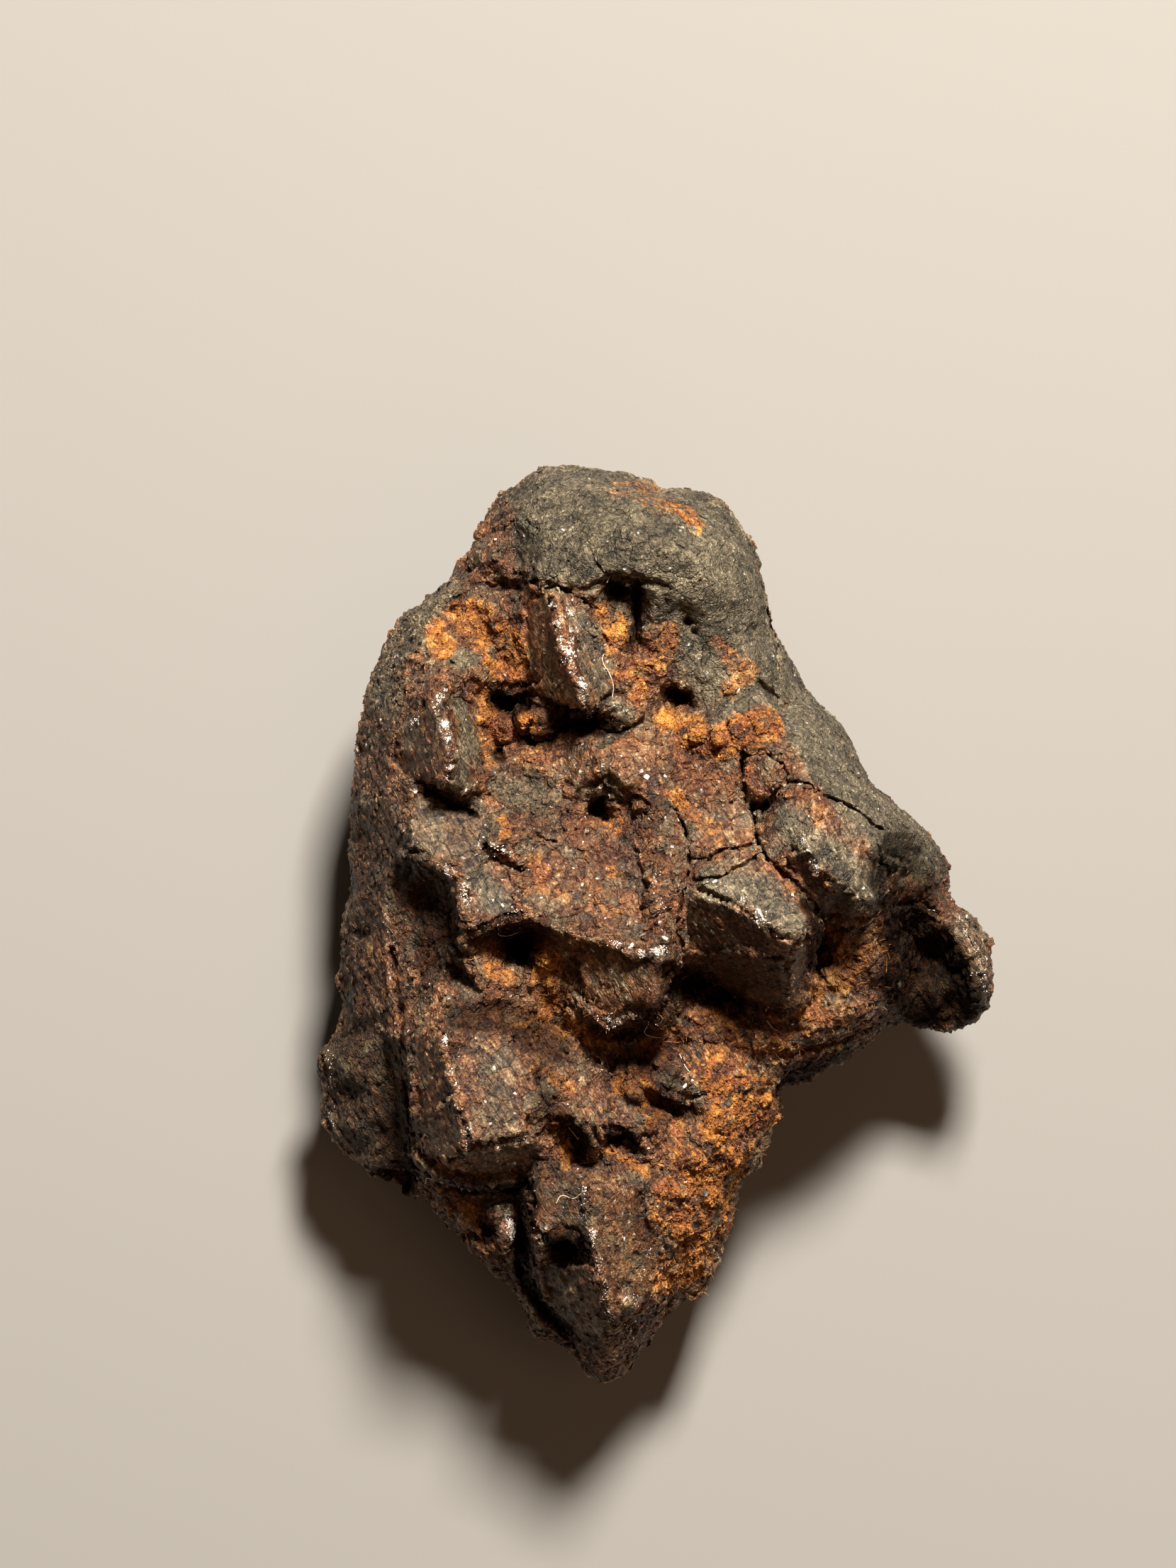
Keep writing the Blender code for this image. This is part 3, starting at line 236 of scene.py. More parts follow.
def ramp_up(values, start, end):
    """0 below start, 1 above end, and a smooth S between."""
    part = np.clip((values - start) / (end - start), 0.0, 1.0)
    return part * part * (3.0 - 2.0 * part)


def evened(mesh, places, rounds):
    """The places after some rounds of moving each point halfway to its neighbours' middle."""
    pairs = np.empty(len(mesh.edges) * 2, dtype=np.int64)
    mesh.edges.foreach_get("vertices", pairs)
    start, end = pairs.reshape(-1, 2).T
    count = np.bincount(pairs, minlength=len(places))
    middle = places.copy()
    for _ in range(rounds):
        total = np.empty_like(middle)
        for axis in range(3):
            total[:, axis] = np.bincount(start, middle[end, axis], len(places))
            total[:, axis] += np.bincount(end, middle[start, axis], len(places))
        middle = 0.5 * middle + 0.5 * total / count[:, None]
    return middle


def standing_out(mesh, places, normals, rounds):
    """How far each point stands out from its surroundings, in mm."""
    return np.einsum("ij,ij->i", places - evened(mesh, places, rounds), normals)


def moved_skin(mesh, places):
    """Gives the mesh its new places, in millimetres, and reads it again."""
    mesh.vertices.foreach_set("co", (places * MM).ravel())
    mesh.update()
    return read_points(mesh)


noise.seed_set(NOISE_SEED)
places, normals = read_points(stone.data)
flat = shaken(places, *LINE_SHAKE)[:, :2]
up_facing = ramp_up(normals[:, 2], *UP_RAMP)
off_table = ramp_up(places[:, 2], *TABLE_RAMP)
print("points facing up:", int((up_facing > 0.5).sum()))

# %% [markdown]
# Remeshing and smoothing have rounded every corner, and a stone that looks melted isn't
# convincing. Two tools bring the edges back. The first is the sculptor's sharpen brush: each
# point moves away from the average of its surroundings, so corners stand out and creases sink.
# The second is the scrape brush: inside a named outline the skin is pressed onto one plane, as
# a clean break leaves it. Where two planes meet, the edge between them is as sharp as in metal.
# An extra slope tips a plane, because how bright a face is depends on where it looks.

# %% Sharpen, then scrape the broken faces flat
SHARPEN_ROUNDS = 24
SHARPEN = 0.8
SHARPEN_LIMIT = 0.22        # mm
SCRAPE_LIMIT = 0.80         # mm
SCRAPE_SOFTNESS = 0.14      # mm inside the outline over which the plane takes over
PLANE_FITS = 3              # times the plane is fitted, each time without the points far off it
PLANE_REACH = 0.3           # mm off the plane where a point always counts as on it

# name: (strength, extra slope along x and y, outline in mm)
FACETS = {
    "wedge left": (0.9, (-0.05, -0.20), [
        (-4.45, 13.8), (-4.2, 12.9), (-3.95, 12.0), (-3.7, 11.2), (-3.45, 10.5), (-3.1, 9.9), (-2.8, 9.0),
        (-3.3, 8.95), (-4.0, 9.2), (-4.9, 9.6), (-5.2, 10.5), (-5.5, 12.0), (-5.4, 13.2)]),
    "wedge right": (0.9, (-0.2, -0.12), [
        (-4.35, 13.8), (-3.3, 13.7), (-2.8, 12.8), (-2.6, 11.8), (-2.2, 11.2), (-1.8, 10.2), (-1.9, 9.4),
        (-2.3, 8.9), (-2.7, 9.0), (-3.0, 9.9), (-3.35, 10.5), (-3.6, 11.2), (-3.85, 12.0), (-4.1, 12.9)]),
    "crest dark side": (0.9, (0.32, 0.12), [
        (-9.05, 9.2), (-8.85, 8.6), (-8.65, 8.0), (-8.45, 7.4), (-8.4, 6.9), (-8.55, 6.3), (-8.85, 5.9),
        (-9.5, 6.1), (-10.3, 6.0), (-11.0, 6.8), (-10.8, 8.0), (-10.0, 8.6)]),
    "crest olive side": (0.9, (0.8, 0.0), [
        (-8.45, 9.9), (-8.95, 9.2), (-8.75, 8.6), (-8.55, 8.0), (-8.35, 7.4), (-8.3, 6.9), (-8.45, 6.3),
        (-8.65, 5.8), (-7.8, 5.2), (-7.2, 6.0), (-7.1, 7.0), (-7.2, 8.2), (-7.5, 9.2)]),
    "plateau left": (0.8, (0.0, 0.0), [
        (-10.2, 3.2), (-9.3, 2.95), (-8.5, 2.4), (-7.9, 2.1), (-7.2, 2.4), (-7.1, 3.3), (-6.6, 4.4),
        (-7.4, 4.5), (-8.6, 4.9), (-9.9, 5.4)]),
    "bright plate": (0.95, (0.0, -0.1), [
        (-7.8, 2.0), (-7.75, -0.3), (-7.0, 0.0), (-6.2, 0.4), (-5.7, 0.7), (-5.8, 1.8), (-6.0, 2.3),
        (-6.9, 2.9), (-7.1, 2.3)]),
    "centre plateau": (0.5, (0.0, 0.0), [
        (-5.6, 2.2), (-5.0, 3.4), (-3.4, 3.9), (-1.6, 3.8), (-0.6, 3.2), (-0.2, 1.4), (-0.6, -0.6),
        (-2.0, -0.3), (-3.4, 0.2), (-4.8, 0.7), (-5.5, 0.9)]),
    "beak": (0.9, (0.05, -0.25), [
        (-3.4, -0.2), (-2.0, -0.6), (-0.9, -1.1), (0.2, -1.1), (0.3, -2.2), (0.1, -3.5), (-0.6, -3.35),
        (-1.2, -3.3), (-1.8, -3.9), (-2.4, -3.4), (-3.0, -2.8), (-3.2, -1.6)]),
    "block top": (0.9, (0.0, -0.15), [
        (1.6, 1.7), (2.6, 2.2), (3.6, 2.7), (4.4, 2.9), (5.0, 2.4), (5.9, 1.3), (6.2, 0.3), (5.8, -0.4),
        (4.9, -0.15), (4.2, 0.45), (3.2, 1.1)]),
    "block brow": (0.8, (0.0, 0.2), [
        (1.5, 1.5), (3.2, 1.0), (4.2, 0.35), (4.9, -0.25), (5.6, -0.5), (5.3, -1.2), (4.2, -1.0),
        (3.0, -0.9), (2.1, -1.3), (1.2, -0.9), (1.2, 0.4)]),
    "block face": (0.8, (0.0, 0.1), [
        (2.2, -1.4), (3.0, -1.0), (4.2, -1.1), (5.3, -1.3), (5.4, -3.3), (4.4, -3.5), (3.4, -3.1),
        (2.6, -2.4)]),
    "block strip": (0.9, (-0.2, 0.0), [
        (5.75, -0.5), (6.2, 0.1), (6.3, -0.9), (6.1, -2.4), (5.9, -3.4), (5.5, -3.5), (5.45, -1.6)]),
    "nose back": (0.7, (0.0, 0.0), [
        (4.3, 3.6), (4.6, 3.0), (5.2, 2.5), (5.8, 3.5), (6.6, 4.2), (6.6, 5.4), (5.2, 5.4), (4.6, 4.6)]),
    "nose top": (0.9, (-0.05, -0.12), [
        (6.0, 3.6), (6.3, 3.0), (6.7, 2.3), (7.2, 1.75), (7.8, 1.4), (8.5, 0.8), (8.95, 1.0), (9.0, 2.4),
        (8.7, 3.4), (8.2, 4.6), (7.0, 5.2), (6.7, 4.2)]),
    "nose face": (0.9, (-0.3, -0.6), [
        (5.3, 3.0), (5.9, 3.2), (6.5, 2.3), (7.1, 1.6), (7.8, 1.25), (8.5, 0.6), (8.2, 0.1), (7.4, 0.1),
        (6.8, 0.6), (6.2, 1.6), (5.6, 2.4)]),
    "tile": (0.7, (0.0, 0.0), [
        (1.5, 3.1), (2.3, 3.1), (3.3, 3.4), (3.9, 3.6), (4.0, 4.6), (3.5, 5.0), (2.2, 5.0), (1.0, 4.8),
        (1.3, 4.0)]),
    "tile strip": (0.8, (0.0, 0.0), [
        (1.5, 2.7), (2.6, 2.9), (3.3, 3.05), (4.0, 3.2), (4.3, 2.9), (3.4, 2.4), (2.5, 1.95), (1.6, 1.9)]),
    "chunk": (0.9, (0.1, -0.1), [
        (3.8, 6.8), (4.4, 7.0), (5.0, 6.5), (5.2, 6.1), (4.8, 5.7), (4.4, 5.4), (3.9, 5.6)]),
    "spall": (0.8, (0.0, 0.0), [
        (-2.2, 6.3), (-1.6, 6.0), (-1.0, 5.5), (-0.3, 5.0), (0.3, 5.4), (0.4, 6.8), (-0.4, 7.6),
        (-1.6, 7.6), (-2.3, 7.2)]),
    "middle plate": (0.7, (0.0, 0.1), [
        (-4.1, 7.7), (-2.6, 7.9), (-2.2, 7.2), (-2.4, 6.2), (-3.0, 5.8), (-4.0, 6.0), (-4.6, 6.8)]),
    "lower facet": (0.85, (0.0, 0.0), [
        (-8.5, -4.6), (-8.3, -6.2), (-8.0, -7.1), (-7.8, -8.0), (-7.6, -8.9), (-6.8, -8.85), (-5.9, -8.7),
        (-5.3, -8.5), (-5.1, -7.0), (-5.5, -5.2), (-6.6, -4.4), (-7.6, -4.1)]),
    "facet side": (0.8, (0.1, 0.0), [
        (-8.6, -4.6), (-8.45, -6.2), (-8.1, -7.1), (-7.9, -8.0), (-7.7, -8.9), (-8.6, -9.7), (-9.6, -9.3),
        (-9.9, -8.0), (-10.0, -6.0), (-9.9, -4.4), (-9.2, -3.9)]),
    "facet foot": (0.85, (0.0, -0.9), [
        (-7.6, -9.1), (-5.4, -9.0), (-5.2, -9.9), (-6.8, -10.3), (-7.9, -10.3), (-8.8, -9.9)]),
    "plate": (0.85, (0.0, 0.15), [
        (-4.8, -10.4), (-3.0, -10.6), (-2.85, -12.0), (-2.9, -12.8), (-3.4, -12.55), (-3.9, -12.4),
        (-4.4, -12.6), (-4.8, -12.7), (-5.05, -11.6)]),
    "spine right": (0.8, (0.0, -0.10), [
        (-2.8, -10.6), (-2.75, -12.0), (-2.55, -13.0), (-2.4, -13.9), (-2.1, -15.0), (-1.9, -16.2),
        (-0.6, -15.8), (0.1, -14.4), (-0.1, -12.6), (-0.4, -11.0), (-1.4, -10.2)]),
    "spine left": (0.7, (0.15, 0.0), [
        (-2.6, -13.9), (-2.3, -15.0), (-2.1, -16.3), (-2.0, -17.2), (-3.2, -16.9), (-4.2, -15.8),
        (-4.7, -14.8), (-4.6, -13.9), (-3.6, -13.9)]),
    "flake block": (0.8, (0.0, 0.1), [
        (-1.6, -7.0), (-0.9, -7.0), (-0.4, -7.8), (0.0, -9.0), (-0.5, -8.6), (-0.9, -8.2), (-1.5, -8.2),
        (-1.9, -7.9)]),
    "shelf": (0.8, (0.0, 0.0), [
        (-1.6, -6.6), (-0.7, -6.4), (0.2, -6.6), (0.5, -6.9), (-0.2, -7.2), (-1.0, -6.95)]),
    "bay plate": (0.8, (0.0, 0.0), [
        (-3.3, -5.8), (-2.3, -6.0), (-2.0, -7.0), (-2.0, -8.2), (-2.3, -9.0), (-2.7, -8.1), (-3.2, -7.5),
        (-3.6, -6.8)]),
    "grey lump": (0.9, (0.0, -0.1), [
        (-2.0, 8.9), (-1.7, 9.4), (-1.2, 9.5), (-0.8, 9.2), (-0.6, 8.8), (-0.9, 8.35), (-1.5, 8.2),
        (-2.0, 8.5)]),
    "left lump": (0.9, (0.0, -0.1), [(-5.0, 8.9), (-4.2, 8.9), (-4.0, 8.3), (-4.6, 7.95), (-5.1, 8.3)]),
    "middle bump": (0.8, (-0.1, -0.1), [
        (-1.7, 7.2), (-0.9, 7.6), (-0.2, 7.2), (0.0, 6.4), (-0.4, 5.6), (-1.2, 5.9), (-1.9, 6.4)]),
    "knob flake": (0.9, (-0.2, 0.0), [
        (-6.3, -11.9), (-5.9, -12.0), (-5.6, -12.6), (-5.8, -13.3), (-6.2, -13.1)]),
    "tooth": (0.9, (0.0, 0.0), [(-8.2, -0.95), (-7.5, -1.3), (-7.1, -2.2), (-7.0, -1.2), (-7.3, -0.9)]),
    "shard": (0.9, (0.0, 0.0), [
        (-8.7, -2.5), (-8.3, -3.1), (-7.4, -2.95), (-6.8, -2.8), (-7.1, -2.4), (-8.0, -2.1)]),
}


def sharpened(mesh, places, normals, rounds, amount, limit):
    """The places with what stands out pulled out further and what lies low pushed in."""
    height = standing_out(mesh, places, normals, rounds)
    return places + normals * (np.clip(amount * height, -limit, limit) * off_table)[:, None]


def inside_outline(spots, outline):
    """How far inside the outline each spot is, in mm, and 0 outside it."""
    outline = np.asarray(outline)
    crossings = np.zeros(len(spots), dtype=int)
    nearest = np.full(len(spots), np.inf)
    for (x0, y0), (x1, y1) in zip(outline, np.roll(outline, -1, axis=0)):
        crosses = (y0 > spots[:, 1]) != (y1 > spots[:, 1])
        at = x0 + (spots[:, 1] - y0) * (x1 - x0) / (y1 - y0 if y1 != y0 else 1e-9)
        crossings += crosses & (spots[:, 0] < at)
        step = np.array((x1 - x0, y1 - y0))
        away = spots - (x0, y0)
        part = np.clip(away @ step / (step @ step), 0.0, 1.0)
        nearest = np.minimum(nearest, np.hypot(*(away - part[:, None] * step).T))
    return np.where(crossings % 2 == 1, nearest, 0.0)


def scrape(places, flat, up_facing, scraped, strength, slope, outline):
    """Presses the points inside an outline onto the plane that fits them, tipped by a slope."""
    low = np.min(outline, axis=0)
    high = np.max(outline, axis=0)
    box = np.flatnonzero(np.all((flat > low) & (flat < high), axis=1) & (up_facing > 0.3))
    depth = inside_outline(flat[box], outline)
    box = box[depth > 0]
    depth = depth[depth > 0]
    spots = places[box]
    sides = np.column_stack((np.ones(len(box)), spots[:, :2] - spots[:, :2].mean(axis=0)))
    fits = np.ones(len(box), dtype=bool)
    for _ in range(PLANE_FITS):
        plane = np.linalg.lstsq(sides[fits], spots[fits, 2], rcond=None)[0]
        gap = sides @ plane - spots[:, 2]
        fits = np.abs(gap) < max(PLANE_REACH, 1.5 * np.median(np.abs(gap)))
    gap += sides[:, 1:] @ np.array(slope)
    share = strength * ramp_up(depth, 0.0, SCRAPE_SOFTNESS) * (np.abs(gap) < 3.0 * SCRAPE_LIMIT)
    places[box, 2] += share * np.clip(gap, -SCRAPE_LIMIT, SCRAPE_LIMIT)
    scraped[box] = np.maximum(scraped[box], share)


places = sharpened(stone.data, places, normals, SHARPEN_ROUNDS, SHARPEN, SHARPEN_LIMIT)
scraped = np.zeros(len(places))
for strength, slope, outline in FACETS.values():
    scrape(places, flat, up_facing, scraped, strength, slope, outline)
places, normals = moved_skin(stone.data, places)
up_facing = ramp_up(normals[:, 2], *UP_RAMP)
print("faces scraped flat:", len(FACETS))

# %% [markdown]
# Iron meteorites break along their own crystal planes, so a broken side looks stepped, like
# slates on a roof. On this stone every slate rises gently towards the foot and then drops
# sharply. The biggest edges are in the solid already, but melted round. Each line below walks
# along one such edge with the drop on its right. The skin is lifted just before the line and
# pressed down just behind it, which brings the edge back.

# %% Sharp ledges
# name: (lift mm, drop mm, reach mm, points in mm), the drop on the right of the walk
LEDGES = {
    "wedge lip": (0.12, 0.30, 0.7, [(-1.9, 9.35), (-2.6, 8.8), (-3.3, 8.88), (-4.0, 9.05), (-4.9, 9.4)]),
    "left hole lip": (0.12, 0.30, 0.6, [(-5.0, 10.0), (-6.0, 9.85), (-6.8, 10.05), (-7.1, 9.6)]),
    "brow": (0.10, 0.22, 0.6, [
        (0.4, 13.9), (-0.6, 14.2), (-1.7, 14.45), (-2.3, 14.1), (-3.1, 13.72), (-4.1, 14.0), (-4.9, 14.3)]),
    "shoulder step": (0.10, 0.15, 0.6, [(-5.0, 16.4), (-5.7, 17.1), (-6.4, 16.6)]),
    "small cup": (0.06, 0.20, 0.5, [(-5.6, 14.5), (-6.2, 14.7), (-6.9, 14.5)]),
    "rust shelf": (0.10, 0.16, 0.6, [(-7.5, 10.5), (-8.4, 10.8), (-9.3, 10.8), (-9.9, 11.1)]),
    "left slit lip": (0.12, 0.30, 0.6, [(-7.4, 4.75), (-8.2, 5.15), (-8.8, 5.6), (-9.3, 5.9), (-9.8, 5.8)]),
    "spall": (0.12, 0.22, 0.6, [(-0.3, 4.9), (-1.0, 5.4), (-1.6, 5.95), (-2.1, 6.25), (-2.4, 5.8)]),
    "hole lip": (0.08, 0.20, 0.5, [(-1.5, 5.1), (-2.0, 5.35), (-2.7, 5.2)]),
    "plateau edge": (0.12, 0.26, 0.8, [
        (-7.75, -0.3), (-7.7, 1.0), (-7.85, 2.0), (-8.5, 2.4), (-9.3, 2.9), (-10.2, 3.1)]),
    "arch": (0.10, 0.30, 0.8, [
        (-3.2, -0.1), (-4.3, 0.2), (-5.3, 0.6), (-6.2, 0.4), (-7.0, 0.05), (-7.7, -0.3)]),
    "arch right": (0.06, 0.04, 0.5, [(0.4, -1.1), (-0.8, -1.1), (-2.0, -0.5), (-3.2, -0.1)]),
    "flake": (0.14, 0.22, 0.5, [(-5.4, 2.4), (-5.9, 2.7), (-6.4, 3.1), (-7.1, 3.4)]),
    "beak": (0.14, 0.28, 0.7, [
        (0.3, -3.5), (0.1, -3.75), (-0.6, -3.4), (-1.2, -3.4), (-1.8, -4.0), (-2.4, -3.5), (-3.1, -2.9)]),
    "tooth": (0.14, 0.22, 0.5, [(-7.0, -2.5), (-7.2, -1.9), (-7.7, -1.3), (-8.3, -0.9)]),
    "shard": (0.12, 0.20, 0.5, [(-6.6, -2.75), (-7.4, -3.0), (-8.3, -3.2), (-8.7, -2.6)]),
    "block brow": (0.06, 0.14, 0.8, [
        (6.2, -0.5), (5.6, -0.55), (4.8, -0.35), (4.2, 0.3), (3.2, 0.9), (1.7, 1.4)]),
    "block base": (0.05, 0.22, 0.7, [(5.6, -3.5), (4.6, -3.6), (3.6, -3.3), (2.4, -2.2), (1.4, -1.6)]),
    "nose": (0.05, 0.12, 0.5, [(8.9, 0.7), (8.2, 1.2), (7.5, 1.6), (6.9, 2.1), (6.4, 2.8), (6.0, 3.5)]),
    "nose base": (0.05, 0.16, 0.6, [(8.9, 0.4), (8.0, 0.2), (7.1, 0.4)]),
    "right step": (0.10, 0.24, 0.6, [(10.2, 2.6), (9.6, 2.9), (9.2, 2.3), (9.0, 1.4)]),
    "arm brow": (0.10, 0.20, 0.7, [(12.5, 0.1), (11.8, 0.4), (11.0, 0.9), (10.2, 0.8)]),
    "slope lip": (0.10, 0.26, 0.7, [(8.8, -4.4), (7.8, -4.8), (6.8, -5.1), (5.9, -5.3), (5.1, -5.5)]),
    "shelf": (0.12, 0.26, 0.6, [
        (2.0, -7.0), (1.4, -7.2), (0.7, -6.85), (0.0, -6.5), (-0.8, -6.35), (-1.6, -6.6)]),
    "slit": (0.14, 0.30, 0.6, [(0.0, -9.2), (-0.4, -8.75), (-0.8, -8.4), (-1.4, -8.3), (-2.05, -8.4)]),
    "bay": (0.12, 0.26, 0.7, [(-2.4, -9.3), (-2.7, -8.3), (-3.3, -7.6), (-4.2, -7.55), (-4.4, -8.4)]),
    "facet lip": (0.10, 0.20, 0.7, [
        (-5.1, -8.2), (-5.4, -8.8), (-6.2, -8.8), (-7.0, -9.0), (-7.7, -9.0), (-8.0, -8.0)]),
    "lower lip": (0.16, 0.28, 0.6, [
        (-5.8, -10.4), (-6.8, -10.5), (-7.9, -10.45), (-8.9, -10.1), (-9.7, -9.5)]),
    "plate lip": (0.12, 0.30, 0.6, [
        (-2.75, -13.5), (-2.95, -12.95), (-3.3, -12.6), (-3.8, -12.5), (-4.3, -12.65), (-4.7, -12.9),
        (-5.1, -12.2), (-5.0, -11.3)]),
    "flake block": (0.10, 0.18, 0.5, [(-0.3, -7.9), (-1.0, -7.7), (-1.5, -7.0), (-1.9, -6.9)]),
    "cell wall": (0.08, 0.16, 0.5, [(-1.9, -6.2), (-2.3, -5.8), (-3.2, -6.0), (-3.7, -6.5)]),
    "under plate": (0.10, 0.20, 0.6, [(-3.4, -4.6), (-4.3, -4.1), (-5.3, -3.9), (-6.2, -4.2)]),
    "knob rim": (0.10, 0.18, 0.5, [(-5.9, -13.4), (-6.3, -13.9), (-7.0, -13.5), (-7.5, -12.9)]),
    "left plate end": (0.08, 0.18, 0.6, [(-8.3, -6.9), (-9.0, -7.6), (-9.5, -8.6), (-9.9, -9.3)]),
}

move = np.zeros(len(places))
for lift, drop, reach, line in LEDGES.values():
    near, distance, side = follow(flat, line, reach)
    fade = (1.0 - distance / reach) ** 2
    move[near] += np.where(side > 0, lift, -drop) * fade * up_facing[near]
print("ledges walked:", len(LEDGES))

# %% [markdown]
# Ridges are where two faces meet and rubbing has worn the crust off. They are lifted to a thin crest, like
# pinching clay. Each also gets a share of bare metal later, painted near-white, partly worn metal and partly
# a painted highlight, which is what draws the bright white lines in the photograph. Cracks are the opposite:
# narrow cuts with steep sides.

# %% Ridges and cracks
# name: (height mm, half width mm, share of bare metal and painted highlight, points in mm)
RIDGES = {
    "wedge crest": (0.22, 0.45, 1.0, [
        (-4.4, 13.8), (-4.15, 12.9), (-3.9, 12.0), (-3.65, 11.2), (-3.4, 10.5), (-3.05, 9.9), (-2.85, 9.3),
        (-2.7, 8.8)]),
    "wedge spur": (0.14, 0.3, 0.9, [(-3.4, 13.1), (-3.3, 12.2), (-3.6, 11.3)]),
    "left crest": (0.22, 0.45, 1.0, [
        (-8.65, 9.9), (-9.0, 9.2), (-8.8, 8.6), (-8.6, 8.0), (-8.4, 7.4), (-8.35, 6.9), (-8.5, 6.3),
        (-8.8, 5.9)]),
    "left crest branch": (0.12, 0.3, 0.5, [(-9.0, 9.1), (-9.6, 8.7), (-10.0, 8.3)]),
    "plateau lip": (0.12, 0.25, 0.6, [(-7.75, -0.3), (-7.0, 0.0), (-6.3, 0.35), (-5.6, 0.65)]),
    "plateau side": (0.12, 0.25, 0.6, [(-9.6, 3.0), (-8.8, 2.5), (-8.0, 2.1), (-7.75, 1.3), (-7.7, 0.3)]),
    "arch nubs": (0.16, 0.35, 0.9, [(-1.9, -0.55), (-0.9, -1.0), (-0.2, -1.0), (0.3, -0.9)]),
    "middle crest": (0.12, 0.3, 0.35, [(0.1, 2.0), (0.05, 1.0), (0.3, 0.1), (0.3, -0.8)]),
    "block crest": (0.14, 0.5, 0.8, [(3.5, 1.3), (4.1, 0.6), (4.5, 0.1), (5.1, -0.2), (5.8, -0.45)]),
    "block corner": (0.10, 0.35, 0.3, [(5.6, -0.8), (5.55, -2.0), (5.5, -3.2)]),
    "nose ridge": (0.14, 0.4, 0.7, [(5.9, 3.9), (6.15, 3.3), (6.5, 2.6), (6.9, 2.05), (7.4, 1.65)]),
    "nose corner": (0.12, 0.4, 0.5, [(8.2, 1.15), (8.6, 0.75), (8.8, 0.6)]),
    "beak": (0.12, 0.3, 0.5, [
        (-3.0, -2.9), (-2.4, -3.4), (-1.9, -3.9), (-1.3, -3.4), (-0.6, -3.4), (0.1, -3.65)]),
    "facet ridge": (0.18, 0.4, 0.9, [
        (-8.6, -5.4), (-8.35, -6.2), (-8.05, -7.1), (-7.85, -8.0), (-7.6, -8.9)]),
    "facet top": (0.10, 0.3, 0.6, [(-8.5, -4.2), (-8.7, -4.9), (-8.6, -5.6)]),
    "facet lip": (0.10, 0.3, 0.6, [(-7.6, -9.0), (-6.8, -8.9), (-6.0, -8.75), (-5.4, -8.7)]),
    "spine": (0.16, 0.4, 0.4, [
        (-2.9, -10.6), (-2.8, -12.0), (-2.55, -13.0), (-2.4, -13.9), (-2.1, -15.0), (-1.95, -16.3),
        (-1.85, -17.2)]),
    "spine nub": (0.14, 0.3, 0.9, [(-2.55, -12.5), (-2.4, -13.3), (-2.3, -14.1)]),
    "knob": (0.12, 0.3, 0.8, [(-6.15, -11.9), (-6.0, -12.5), (-5.95, -13.1)]),
    "plate side": (0.10, 0.3, 0.6, [(-5.0, -11.0), (-5.05, -11.9), (-4.95, -12.6)]),
    "arm ridge": (0.12, 0.3, 0.5, [(11.2, -2.7), (12.0, -2.3), (12.8, -1.95), (13.4, -2.0)]),
    "arm rim": (0.10, 0.4, 0.3, [(12.6, 0.2), (13.2, -0.6), (13.7, -1.7), (13.8, -2.8)]),
    "lobe rim": (0.12, 0.4, 0.3, [(-13.6, -5.2), (-13.5, -6.6), (-13.6, -8.0), (-12.8, -9.3)]),
    "flake edge": (0.14, 0.3, 0.6, [(-7.2, 3.5), (-6.5, 3.3), (-5.9, 2.9), (-5.45, 2.4)]),
    "wall seam": (0.12, 0.5, 0.1, [(-11.0, 2.6), (-11.2, 0.8), (-11.0, -1.2), (-10.7, -3.0)]),
    "tip seam": (0.10, 0.4, 0.2, [(-0.2, -13.0), (-0.6, -14.6), (-0.9, -16.0), (-1.4, -17.4)]),
    "fan seam": (0.10, 0.4, 0.1, [(2.0, -8.8), (1.4, -10.0), (1.2, -11.4), (0.6, -13.0)]),
}

